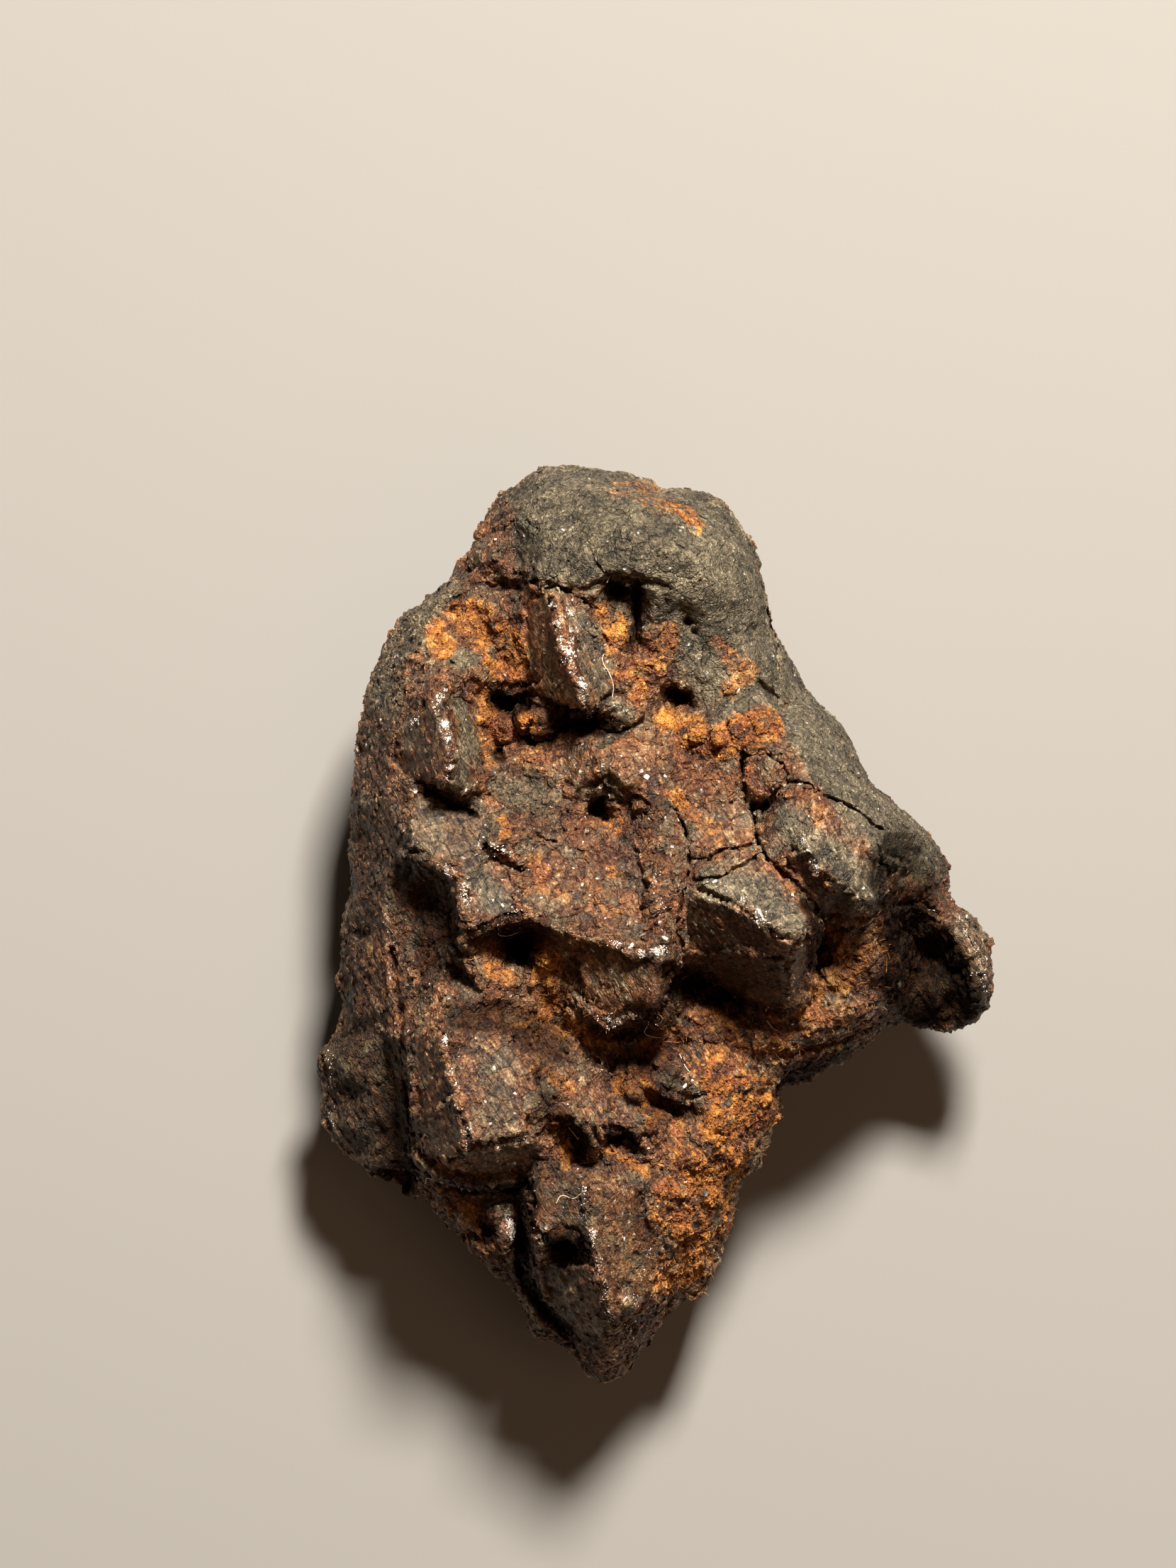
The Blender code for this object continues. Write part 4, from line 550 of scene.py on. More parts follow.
# name: (depth mm, half width mm, points in mm)
CRACKS = {
    "main": (0.95, 0.17, [
        (3.6, 7.1), (3.6, 6.4), (3.7, 5.2), (4.0, 4.6), (4.1, 4.0), (4.2, 3.5), (4.5, 3.0), (5.0, 2.4),
        (5.6, 1.8), (6.1, 1.1), (6.6, 0.5), (6.9, 0.1)]),
    "main wide end": (0.6, 0.32, [(5.9, 1.4), (6.4, 0.8), (6.8, 0.2)]),
    "left branch": (0.7, 0.13, [
        (0.8, 4.8), (1.2, 4.0), (1.35, 3.3), (1.4, 2.8), (1.3, 2.0), (1.1, 1.4), (0.95, 0.7), (0.85, 0.0)]),
    "tile top": (0.6, 0.12, [(1.4, 2.8), (2.2, 2.8), (2.6, 3.1), (3.3, 3.2), (3.9, 3.4)]),
    "tile foot": (0.5, 0.11, [(1.5, 1.9), (2.5, 2.05), (3.4, 2.5), (4.1, 2.85), (4.4, 3.0)]),
    "chunk": (0.7, 0.12, [(3.6, 7.0), (4.4, 7.25), (5.1, 6.7), (5.4, 6.15), (5.0, 5.6), (4.5, 5.0)]),
    "chunk hole": (0.8, 0.34, [(3.9, 5.0), (4.4, 4.95), (4.8, 5.2)]),
    "right run": (0.65, 0.13, [
        (5.25, 5.9), (5.8, 5.9), (6.2, 5.8), (6.6, 5.5), (7.2, 5.3), (7.6, 5.1), (8.2, 4.8), (8.8, 4.3),
        (9.3, 4.0)]),
    "right run foot": (0.5, 0.16, [(9.0, 3.3), (9.3, 2.6), (9.4, 1.8)]),
    "brow": (0.7, 0.13, [(-5.0, 14.3), (-4.5, 14.0), (-3.9, 13.95), (-3.1, 13.6), (-2.7, 13.2)]),
    "brow fissure": (0.35, 0.10, [(-2.8, 15.7), (-2.5, 15.0), (-1.9, 14.4)]),
    "dome edge": (0.5, 0.12, [(4.65, 13.1), (4.85, 12.0), (5.05, 11.1), (5.0, 9.8)]),
    "dome edge hole": (0.6, 0.26, [(4.2, 10.0), (4.7, 9.6), (5.3, 9.1)]),
    "dome hairline": (0.16, 0.09, [(0.3, 16.2), (0.9, 15.6), (2.0, 15.2)]),
    "left slit": (0.7, 0.17, [(-9.7, 5.6), (-9.2, 5.6), (-8.8, 5.3), (-8.2, 4.9), (-7.5, 4.6)]),
    "flake slit": (1.2, 0.24, [(-7.0, 3.25), (-6.6, 3.0), (-6.1, 2.65), (-5.7, 2.35)]),
    "spall slit": (0.5, 0.14, [(-2.1, 6.0), (-1.6, 5.7), (-1.0, 5.2), (-0.3, 4.7)]),
    "plateau hairline": (0.3, 0.09, [(-4.9, 3.7), (-4.5, 3.55), (-4.1, 3.45)]),
    "wedge back": (0.3, 0.10, [(-2.2, 12.0), (-1.9, 11.5), (-1.8, 11.0)]),
    "gully": (0.5, 0.26, [(-0.8, 13.7), (-0.75, 13.0), (-0.75, 12.3), (-1.1, 11.6)]),
    "slot": (0.6, 0.28, [
        (-5.2, -10.5), (-5.1, -11.5), (-5.4, -12.3), (-5.7, -13.0), (-5.7, -14.0), (-5.3, -15.0),
        (-4.6, -16.0), (-3.8, -16.8), (-3.5, -17.4)]),
    "groove": (0.4, 0.20, [(-9.0, -10.6), (-8.0, -10.85), (-6.8, -10.9), (-5.6, -10.9)]),
    "beak root": (0.5, 0.20, [(0.6, -1.4), (0.5, -2.4), (0.2, -3.4)]),
    "block root": (0.5, 0.16, [(0.9, -0.1), (1.0, -0.9), (1.1, -1.6)]),
    "cell": (0.4, 0.16, [(-1.4, -4.6), (-1.7, -5.6), (-2.0, -6.6), (-1.9, -7.6)]),
    "lower left": (0.35, 0.14, [(-5.0, -4.3), (-4.7, -5.4), (-4.9, -6.6), (-4.5, -7.6)]),
    "lump": (0.5, 0.20, [(-5.6, 7.9), (-5.0, 7.8), (-4.2, 7.7), (-3.9, 8.2)]),
    "lobe seam": (0.5, 0.22, [
        (-10.9, -1.0), (-10.6, -3.0), (-10.35, -5.0), (-10.2, -7.0), (-10.0, -9.0), (-9.9, -10.6)]),
}

CREST_SHARE = 0.5           # the solid already carries part of each ridge
CREST_POWER = 2.2           # how steeply a ridge falls off from its crest
CRACK_SIDES = 0.7           # share of a crack's half width that its sloping side takes up
CLOSING_SIZE = 0.9          # mm from one place where a crack nearly closes to the next


def noise_over(places, size):
    """Smooth noise at every place, with features of this size in mm."""
    return np.array([noise.noise(Vector(place) / size) for place in places])


for height, width, _, line in RIDGES.values():
    near, distance, _ = follow(flat, line, width)
    move[near] += CREST_SHARE * height * (1.0 - distance / width) ** CREST_POWER * up_facing[near]
cut = np.zeros(len(places))
closing = 0.45 + 0.55 * ramp_up(noise_over(places, CLOSING_SIZE), -0.45, 0.05)
for depth, width, line in CRACKS.values():
    near, distance, _ = follow(flat, line, width)
    profile = ramp_up(1.0 - distance / width, 0.0, CRACK_SIDES)
    cut[near] = np.maximum(cut[near], depth * profile * closing[near])
cut *= up_facing
print("ridges:", len(RIDGES), "cracks:", len(CRACKS), "deepest cut mm:", round(float(cut.max()), 2))

# %% [markdown]
# Holes and pits are round, so a middle, a radius and a depth are enough. The black ones in the
# photograph are deep for their width. The shallow ones are the nicks where a grain fell out.

# %% Holes and pits
PIT_SIDES = 0.75            # share of a pit's radius that its sloping side takes up

# (x, y, radius, depth) in mm
PITS = [
    # black holes
    (-2.3, 4.95, 0.52, 1.5), (-5.6, -1.0, 0.60, 1.4), (-6.5, 7.1, 0.30, 0.8), (-5.9, 9.2, 0.55, 0.9),
    (-1.6, 13.95, 0.36, 1.1), (-0.7, 13.9, 0.28, 0.8), (0.95, 9.5, 0.40, 0.9), (5.3, 9.1, 0.26, 0.7),
    (-3.7, -13.15, 0.62, 1.2), (-1.4, -8.65, 0.36, 0.8), (6.7, -0.7, 0.50, 1.0), (-10.7, -10.6, 0.55, 0.9),
    (-3.0, 8.35, 0.45, 0.9), (-2.0, 8.3, 0.35, 0.8), (1.6, -2.3, 0.60, 0.7), (9.4, 2.2, 0.40, 0.7),
    # nicks and dimples
    (1.35, 12.6, 0.32, 0.4), (1.6, 12.2, 0.28, 0.35), (-5.8, 15.2, 0.55, 0.35), (-6.3, 14.35, 0.35, 0.35),
    (2.6, 14.6, 0.45, 0.16), (-3.4, 16.6, 0.5, 0.14), (0.4, 16.9, 0.5, 0.12), (3.2, 12.9, 0.5, 0.2),
    (-0.2, 11.3, 0.4, 0.25), (2.2, 11.3, 0.45, 0.22), (-8.5, 12.9, 0.6, 0.25), (-10.2, 9.4, 0.6, 0.22),
    (-10.3, 6.6, 0.7, 0.25), (-12.0, 7.2, 0.4, 0.3), (-6.9, -12.6, 0.50, 0.6), (-8.5, -11.6, 0.5, 0.3),
    (-7.9, -13.0, 0.35, 0.25), (0.8, -7.9, 0.6, 0.3), (1.2, -12.9, 0.55, 0.25), (2.3, -9.6, 0.5, 0.22),
    (0.4, -14.6, 0.5, 0.2), (-3.6, -8.7, 0.55, 0.45), (-3.2, -9.3, 0.45, 0.35), (11.1, 3.2, 0.4, 0.35),
    (11.1, 1.3, 0.35, 0.3), (10.4, 2.1, 0.5, 0.45), (7.6, 1.1, 0.6, 0.3), (8.0, -1.4, 0.6, 0.25),
    (6.7, -3.2, 0.7, 0.25), (9.1, -2.4, 0.7, 0.25), (11.2, -1.2, 0.9, 0.4), (-7.4, 0.9, 0.4, 0.08),
    (-9.4, 1.2, 0.9, 0.25), (-9.5, -1.0, 0.8, 0.25), (-12.2, -0.4, 0.5, 0.25), (-12.1, 3.6, 0.5, 0.25),
    (-12.4, -6.9, 0.8, 0.3), (-11.6, -8.6, 0.6, 0.3), (-3.6, 5.9, 0.3, 0.25), (-6.0, 5.4, 0.35, 0.2),
    (-1.3, 2.0, 0.35, 0.2), (-3.4, 1.8, 0.4, 0.2), (2.9, -1.6, 0.7, 0.2), (3.4, -2.4, 0.6, 0.15),
    (-2.6, -1.9, 0.5, 0.18), (-5.3, -2.7, 0.4, 0.2), (-6.4, -3.2, 0.35, 0.18), (-3.4, -5.9, 0.4, 0.2),
    (-6.9, -5.3, 0.5, 0.10), (-0.6, -5.1, 0.4, 0.25), (1.1, -4.9, 0.5, 0.3), (3.0, -4.6, 0.5, 0.2),
    (7.2, 7.6, 0.5, 0.12), (6.0, 8.3, 0.4, 0.15), (-1.2, -14.9, 0.3, 0.1), (-4.2, -15.2, 0.4, 0.2),
]


def round_mark(flat, x, y, radius, sides):
    """Which points lie within a round mark, and how high up its sides they are, 0 to 1."""
    distance = np.hypot(flat[:, 0] - x, flat[:, 1] - y)
    near = distance < radius
    return near, ramp_up(1.0 - distance[near] / radius, 0.0, sides)


for x, y, radius, depth in PITS:
    near, profile = round_mark(flat, x, y, radius, PIT_SIDES)
    cut[near] = np.maximum(cut[near], depth * profile * up_facing[near])
print("holes and pits:", len(PITS))

# %% [markdown]
# Lumps are the opposite of pits: grains, clots of rust and stubs of metal that stand out. They
# have steep sides and broad tops, because a soft hump would look like clay.

# %% Lumps
LUMP_SIDES = 0.45           # share of a lump's radius that its sloping side takes up

# (x, y, radius, height) in mm
LUMPS = [
    (-1.35, 8.85, 0.80, 0.70), (-4.55, 8.45, 0.60, 0.50), (-6.4, 8.1, 0.55, 0.35), (-2.8, 7.0, 1.0, 0.16),
    (-1.1, 6.6, 0.95, 0.18), (-5.5, 8.6, 0.35, 0.25), (-7.2, 8.6, 0.35, 0.20), (-6.9, 6.3, 0.40, 0.18),
    (-5.0, 6.5, 0.50, 0.20), (-4.1, 6.0, 0.40, 0.18), (-8.25, -4.6, 0.50, 0.35),
    (-4.6, -1.2, 0.45, 0.28), (-4.2, -2.4, 0.50, 0.28), (-5.9, -2.1, 0.45, 0.22), (-5.2, -3.2, 0.35, 0.22),
    (-3.3, -3.6, 0.40, 0.22), (0.32, -0.45, 0.22, 0.20), (-1.05, -0.8, 0.28, 0.20), (0.15, 0.35, 0.24, 0.16),
    (-0.3, 1.2, 0.30, 0.14), (-0.9, 0.1, 0.30, 0.14), (-3.0, -6.4, 0.35, 0.20), (-0.9, -7.0, 0.30, 0.20),
    (-0.9, -5.9, 0.35, 0.18), (0.55, -5.9, 0.55, 0.30), (1.5, -6.6, 0.40, 0.25), (2.6, -8.0, 0.60, 0.22),
    (1.6, -9.6, 0.50, 0.22), (3.5, -6.4, 0.55, 0.22), (2.2, -11.2, 0.50, 0.22), (1.0, -12.6, 0.45, 0.20),
    (1.9, -14.2, 0.45, 0.20), (3.2, -9.6, 0.40, 0.20), (0.9, -10.9, 0.35, 0.18), (1.9, 7.9, 0.35, 0.25),
    (2.7, 7.8, 0.40, 0.30), (3.4, 8.2, 0.40, 0.30), (4.3, 8.2, 0.35, 0.25), (-8.5, 11.9, 0.45, 0.20),
    (-7.6, 12.6, 0.50, 0.18), (-6.4, 12.6, 0.45, 0.18), (-9.3, 11.7, 0.40, 0.18), (-6.9, 11.2, 0.40, 0.18),
    (0.2, 10.6, 0.35, 0.18), (2.0, 10.4, 0.40, 0.18), (3.1, 9.9, 0.40, 0.16), (-0.2, 12.2, 0.35, 0.20),
    (-6.2, 3.7, 0.35, 0.15), (-4.6, 2.3, 0.40, 0.16), (-3.0, 3.0, 0.35, 0.14), (-1.9, 2.2, 0.40, 0.16),
    (5.9, -2.9, 0.40, 0.20), (7.3, -2.2, 0.50, 0.22), (8.3, -3.3, 0.45, 0.20), (4.4, -4.6, 0.45, 0.20),
    (2.4, -4.4, 0.45, 0.20), (0.9, -4.1, 0.35, 0.18), (11.6, -3.0, 0.50, 0.25), (12.7, -1.2, 0.50, 0.20),
    (10.6, 3.6, 0.50, 0.18), (-3.4, -15.2, 0.40, 0.18), (-1.3, -15.5, 0.30, 0.16), (-7.9, -12.2, 0.40, 0.18),
]

for x, y, radius, height in LUMPS:
    near, profile = round_mark(flat, x, y, radius, LUMP_SIDES)
    move[near] += height * profile * up_facing[near]
print("lumps:", len(LUMPS))

# %% [markdown]
# Between the named features the skin is still too calm. Three kinds of roughness follow the
# stone's own nature. Slates: Voronoi noise splits the skin into cells, and every cell is tilted
# its own way, mostly up towards the foot, so each one ends in a little step. Grain: turbulent
# noise for the pitted oxide. Fibres: smooth noise pulled long, because the metal at the foot
# and on the arm has a combed look. Zones say how strong each is in each part of the stone.

# %% Zones of the surface
ZONE_SOFTNESS = 0.55        # share of a zone's radius over which it fades
CELL_SHAKE = (0.45, 0.12)   # size and strength of the shake that makes cells ragged, mm

# name: (radius mm, points in mm); a zone is the space within its radius of its line
ZONES = {
    "dome": (3.6, [(-3.2, 17.0), (-0.6, 16.6), (1.6, 15.4), (3.0, 13.2), (4.0, 11.2)]),
    "right crust": (1.9, [(5.4, 10.4), (6.6, 8.2), (7.8, 6.6), (9.6, 4.6), (10.8, 3.4)]),
    "rust clump": (0.95, [(1.9, 7.8), (2.8, 7.8), (3.5, 8.0), (4.3, 8.2)]),
    "fan": (2.3, [(3.6, -7.2), (2.9, -9.0), (2.0, -11.0), (1.6, -13.0), (1.0, -14.6)]),
    "foot": (2.2, [(-2.6, -14.6), (-2.3, -16.2), (-2.1, -18.2)]),
    "arm": (2.2, [(10.8, -0.6), (12.0, -1.6), (12.6, -3.0)]),
    "slope": (2.0, [(1.2, -4.4), (3.6, -4.6), (6.0, -4.4), (7.6, -3.0), (8.2, -1.6)]),
    "left wall": (2.2, [(-11.6, 8.0), (-12.0, 4.0), (-12.0, 0.0), (-11.6, -3.6)]),
    "lobe": (2.4, [(-12.0, -6.0), (-12.0, -8.6)]),
    "facet": (1.6, [(-7.0, -5.4), (-6.6, -6.8), (-6.6, -8.0)]),
    "under arch": (1.6, [(-6.6, -1.4), (-4.6, -2.2), (-3.6, -3.6), (-1.6, -4.8)]),
    "hollow": (1.4, [(-8.4, 11.8), (-6.8, 12.0), (-6.2, 11.0)]),
}

COMBED_ZONES = ("foot", "arm", "left wall", "slope", "lobe")
CALMED_ZONES = {"dome": 0.60, "right crust": 0.60, "left wall": 0.65, "lobe": 0.50}


def painted(flat, marks, softness):
    """How much each point belongs to any of the marks, 0 to 1. A mark is (strength, radius, line)."""
    weight = np.zeros(len(flat))
    for strength, radius, line in marks:
        near, distance, _ = follow(flat, line, radius)
        share = strength * ramp_up(1.0 - distance / radius, 0.0, softness)
        weight[near] = np.maximum(weight[near], share)
    return weight


def in_zones(flat, *names):
    """1 inside any of the zones, fading to 0 at their edges."""
    return painted(flat, [(1.0, *ZONES[name]) for name in names], ZONE_SOFTNESS)


calmed = painted(flat, [(share, *ZONES[name]) for name, share in CALMED_ZONES.items()], ZONE_SOFTNESS)
calm = 1.0 - np.maximum(calmed, 0.80 * scraped)
crumbly = np.maximum(in_zones(flat, "rust clump"), 0.35 * in_zones(flat, "fan"))
combed = in_zones(flat, *COMBED_ZONES)
warped = shaken(places, *CELL_SHAKE)
print("points in combed zones:", int((combed > 0.5).sum()))

# %% [markdown]
# Each kind of roughness has a size and a height, and every point of the skin adds up what its
# zones let through. The sum moves the point along its normal, and the cracks and holes then cut
# straight down. One more, finer sharpening makes the relief crisp.

# %% Slates, grain and fibres
SLATES = [(1.9, 0.10), (0.8, 0.095), (0.38, 0.045)]   # cell size and step, mm
PIT_SIZE = 0.55             # these sizes, widths and heights are in mm too
PIT_HEIGHT = 0.085
FINE_SIZE = 0.20
FINE_HEIGHT = 0.045
FIBRE_WIDTH = 0.17
FIBRE_LENGTH = 1.2
FIBRE_HEIGHT = 0.06
COMBED_TURN = math.radians(33.0)    # fibres lean to the left of the stone's length
CRUMB_SIZE = 0.30
CRUMB_HEIGHT = 0.16
UNDERSIDE_SHARE = 0.6       # the unseen sides keep less of the finest roughness
CRISP_ROUNDS = 5            # the finished relief is sharpened once more, at a small scale
CRISP = 0.7
CRISP_LIMIT = 0.06          # mm
TOP_ROOM = 0.20             # mm that the skin may stand over the solid's highest point
TOP_PRESS = 0.8             # how much of what is higher than that is pressed down


def slate_height(place, size):
    """How far a point stands out on its tilted Voronoi cell, about -1 to 1."""
    seed = noise.voronoi(place / size)[1][0]
    own = noise.cell_vector(seed)
    across = place / size - seed
    return 0.9 * -across.y + 0.8 * across.dot(own) + 0.5 * own.z


fibre_turn = Matrix.Rotation(-COMBED_TURN, 3, "Z")
points = zip(map(Vector, places), map(Vector, warped), calm, crumbly, combed, up_facing)
for i, (place, cell_place, weight, crumb, comb, up) in enumerate(points):
    share = UNDERSIDE_SHARE + (1.0 - UNDERSIDE_SHARE) * up
    height = 0.0
    for size, step in SLATES:
        height += weight * step * slate_height(cell_place, size)
    height += weight * PIT_HEIGHT * (1.0 - 2.0 * noise.turbulence(place / PIT_SIZE, 3, True))
    height += share * FINE_HEIGHT * noise.noise(place / FINE_SIZE)
    if comb > 0.02:
        turned = fibre_turn @ place
        long = Vector((turned.x / FIBRE_WIDTH, turned.y / FIBRE_LENGTH, turned.z / FIBRE_LENGTH))
        height += comb * FIBRE_HEIGHT * noise.noise(long)
    if crumb > 0.02:
        height += crumb * CRUMB_HEIGHT * noise.turbulence(place / CRUMB_SIZE, 3, True)
    move[i] += height

places += normals * (move * off_table)[:, None]
places[:, 2] -= cut * off_table
places[:, 2] = np.maximum(places[:, 2], 0.0)
places, normals = moved_skin(stone.data, places)
places = sharpened(stone.data, places, normals, CRISP_ROUNDS, CRISP, CRISP_LIMIT)
solid_top = solid_box[1][2] / MM
too_high = np.maximum(places[:, 2] - solid_top - TOP_ROOM, 0.0)
places[:, 2] -= TOP_PRESS * too_high
places, normals = moved_skin(stone.data, places)
print("relief from", round(float(move.min()), 2), "to", round(float(move.max()), 2), "mm")

# %% [markdown]
# Now the skin is thinned. The Decimate modifier removes triangles where the skin is nearly
# flat and keeps them along cracks and ledges, so little is lost. The result replaces the solid:
# the solid stays for the physics, and this mesh is what shows.

# %% Thin the skin and put it in the solid's place
SKIN_TRIANGLES = 195000
THINNING_FAVOUR = 1e-6      # how far the upper side's claim on triangles outranks its shape
UPPER_CLAIM = 0.8           # how much less than the unseen sides the upper side is thinned

unseen = stone.vertex_groups.new(name="unseen")
for index, up in enumerate(up_facing):
    unseen.add([index], 1.0 - UPPER_CLAIM * float(up), "REPLACE")
thin = stone.modifiers.new("thin", "DECIMATE")
thin.vertex_group = unseen.name
thin.vertex_group_factor = THINNING_FAVOUR
thin.ratio = min(1.0, SKIN_TRIANGLES / triangles_in(stone.data))
thin.use_collapse_triangulate = True
stone.data = plain_mesh(stone)
stone.modifiers.clear()
stone.vertex_groups.clear()
stone.data.name = "stone"
stone.data.shade_smooth()
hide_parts("meteorite")
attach(stone, "root")
print("stone triangles:", len(stone.data.polygons))

# %% [markdown]
# The colours follow the shape. Rubbing polishes what sticks out and rust grows in what lies low, and what
# lies low is also painted darker as shade, so the first thing to measure is how far each point stands out
# from its neighbours. The rest is named: where the photograph shows orange rust, grey fusion crust, black
# painted shade or places painted lighter, a line with a radius says so. The answers are stored on the mesh as
# attributes, which the material reads.

# %% Measure crests and hollows
PAINT_SHAKE = (0.5, 0.16)   # size and strength of the shake, mm
EDGE_ROUNDS = 3             # rounds of evening that leave out only the finest edges
FORM_ROUNDS = 30            # rounds that leave out broader forms too

places, normals = read_points(stone.data)
flat = shaken(places, *PAINT_SHAKE)[:, :2]
edge = standing_out(stone.data, places, normals, EDGE_ROUNDS)
form = standing_out(stone.data, places, normals, FORM_ROUNDS)
for label, heights in (("edge", edge), ("form", form)):
    print(label, "mm:", np.round(np.percentile(heights, [2, 50, 98]), 3))

# %% [markdown]
# The marks below name what the photograph shows where: rust, fusion crust, painted shade, and painted light
# on faces that the lamps leave too dark. Each mark is a line with a radius and a strength. Together with the
# measures they give ten numbers for each point, which the material and the scattering read.

# %% Name the rust, the crust, the painted shade and the painted light
# name: (strength, radius mm, points in mm)
RUST = {
    "clump": (1.0, 1.15, [(1.6, 7.9), (2.4, 7.8), (3.4, 8.0), (4.5, 8.3)]),
    "clump foot": (0.8, 0.6, [(3.9, 6.4), (4.5, 6.2), (4.4, 5.7)]),
    "left of clump": (0.95, 0.6, [(0.5, 9.1), (0.3, 8.4), (0.9, 8.4), (1.3, 7.6)]),
    "hollow": (1.0, 1.2, [(-7.7, 12.9), (-7.0, 12.2), (-6.3, 11.7), (-6.1, 10.7)]),
    "hollow left": (0.9, 0.7, [(-9.2, 12.1), (-8.8, 11.5)]),
    "hollow foot": (0.9, 0.5, [(-7.1, 9.8), (-7.0, 8.6), (-6.9, 7.6), (-6.7, 6.8)]),
    "left hole": (0.9, 0.6, [(-6.7, 8.7), (-6.2, 8.1), (-5.3, 8.5), (-4.6, 8.4)]),
    "gully": (0.9, 0.8, [(-2.3, 13.0), (-1.8, 12.5), (-1.7, 11.8)]),
    "wedge foot": (0.8, 0.5, [(-2.6, 10.9), (-1.7, 10.3), (-0.8, 10.2), (-0.5, 9.6)]),
    "wedge base": (0.7, 0.5, [(-4.6, 13.4), (-5.1, 13.0), (-5.2, 12.2)]),
    "dome streak": (0.8, 0.30, [(0.6, 17.4), (1.2, 17.0), (1.9, 16.5)]),
    "dome wash": (0.45, 0.8, [(-1.4, 18.2), (-0.6, 18.1), (0.2, 17.5)]),
    "dome foot": (0.6, 0.7, [(2.6, 11.9), (3.3, 11.2), (3.7, 10.6), (3.2, 9.8)]),
    "neck": (0.6, 0.7, [(0.6, 12.4), (0.3, 11.4), (-0.2, 10.6)]),
    "hole nugget": (1.0, 0.55, [(-1.8, 4.5), (-1.6, 4.0)]),
    "plateau": (0.80, 0.40, [(-6.5, 4.4), (-6.1, 3.9)]),
    "plateau middle": (0.60, 0.55, [(-4.8, 2.8), (-4.3, 2.3), (-4.6, 1.6)]),
    "plateau right": (0.60, 0.45, [(-2.1, 2.7), (-1.6, 2.2), (-2.3, 1.4)]),
    "plateau foot": (0.45, 0.45, [(-5.3, 1.4), (-4.8, 1.2), (-2.9, 0.9), (-1.8, 0.6)]),
    "tile": (0.75, 0.5, [(1.9, 4.1), (2.6, 3.7), (0.6, 5.6), (0.9, 5.2)]),
    "tile foot": (0.8, 0.35, [(4.0, 2.5), (4.8, 2.4), (5.3, 1.9), (5.8, 1.3)]),
    "nose top": (0.5, 0.5, [(5.6, 5.0), (6.4, 5.2), (6.7, 4.6)]),
    "middle band": (0.40, 0.9, [(-5.6, 7.0), (-4.2, 7.2), (-2.6, 7.2), (-1.0, 7.4)]),
    "arch left": (0.8, 0.6, [(-6.9, -0.9), (-6.6, -1.7), (-5.9, -2.2)]),
    "arch middle": (0.85, 0.7, [(-4.8, -0.8), (-4.3, -1.3), (-4.6, -2.3), (-4.2, -3.0)]),
    "under arch": (0.7, 0.7, [(-5.4, -3.6), (-4.2, -3.9), (-3.2, -4.3), (-2.2, -4.8)]),
    "gap below beak": (0.6, 0.8, [(-1.4, -4.8), (-0.4, -5.2), (0.6, -4.4), (1.6, -4.2)]),
    "slope": (0.55, 1.7, [(2.4, -4.4), (4.0, -4.7), (6.0, -4.0), (7.2, -3.0), (7.8, -1.6), (8.6, -0.6)]),
    "slope foot": (0.5, 0.8, [(6.0, -5.4), (7.2, -5.2)]),
    "fan top": (0.85, 1.3, [(2.6, -6.2), (3.8, -6.6), (4.4, -7.6)]),
    "fan": (1.0, 1.8, [(3.3, -7.8), (3.0, -9.2), (2.2, -10.6), (1.8, -12.0)]),
    "fan foot": (0.85, 1.2, [(1.6, -12.6), (1.4, -14.0), (0.6, -14.6)]),
    "fan left": (0.7, 0.9, [(0.9, -8.6), (0.4, -10.2), (0.4, -12.0)]),
    "shelf": (0.85, 0.5, [(-1.5, -6.5), (-0.6, -6.5), (-0.3, -7.2), (-0.2, -7.9)]),
    "slit": (0.8, 0.5, [(-2.1, -9.2), (-1.2, -9.4), (-0.4, -9.8)]),
    "bay": (0.7, 0.5, [(-4.1, -8.2), (-3.9, -9.0), (-3.6, -9.8)]),
    "facet specks": (0.5, 0.35, [(-5.5, -5.9), (-5.2, -6.2)]),
    "flake specks": (0.7, 0.3, [(-4.3, -6.0), (-4.0, -6.3), (-2.6, -7.3)]),
    "plate": (0.5, 0.7, [(-4.6, -11.2), (-4.0, -12.0), (-3.4, -11.6)]),
    "spine side": (0.55, 0.8, [(-1.4, -12.6), (-0.9, -13.6), (-0.6, -14.6)]),
    "left side": (0.35, 0.9, [(-11.4, -0.6), (-11.2, -2.4), (-10.8, -3.8)]),
    "left crest side": (0.5, 0.5, [(-9.7, 7.8), (-10.2, 7.2), (-10.6, 6.8)]),
    "lower left": (0.55, 1.0, [(-9.0, -11.2), (-8.0, -11.8), (-7.0, -13.4)]),
}

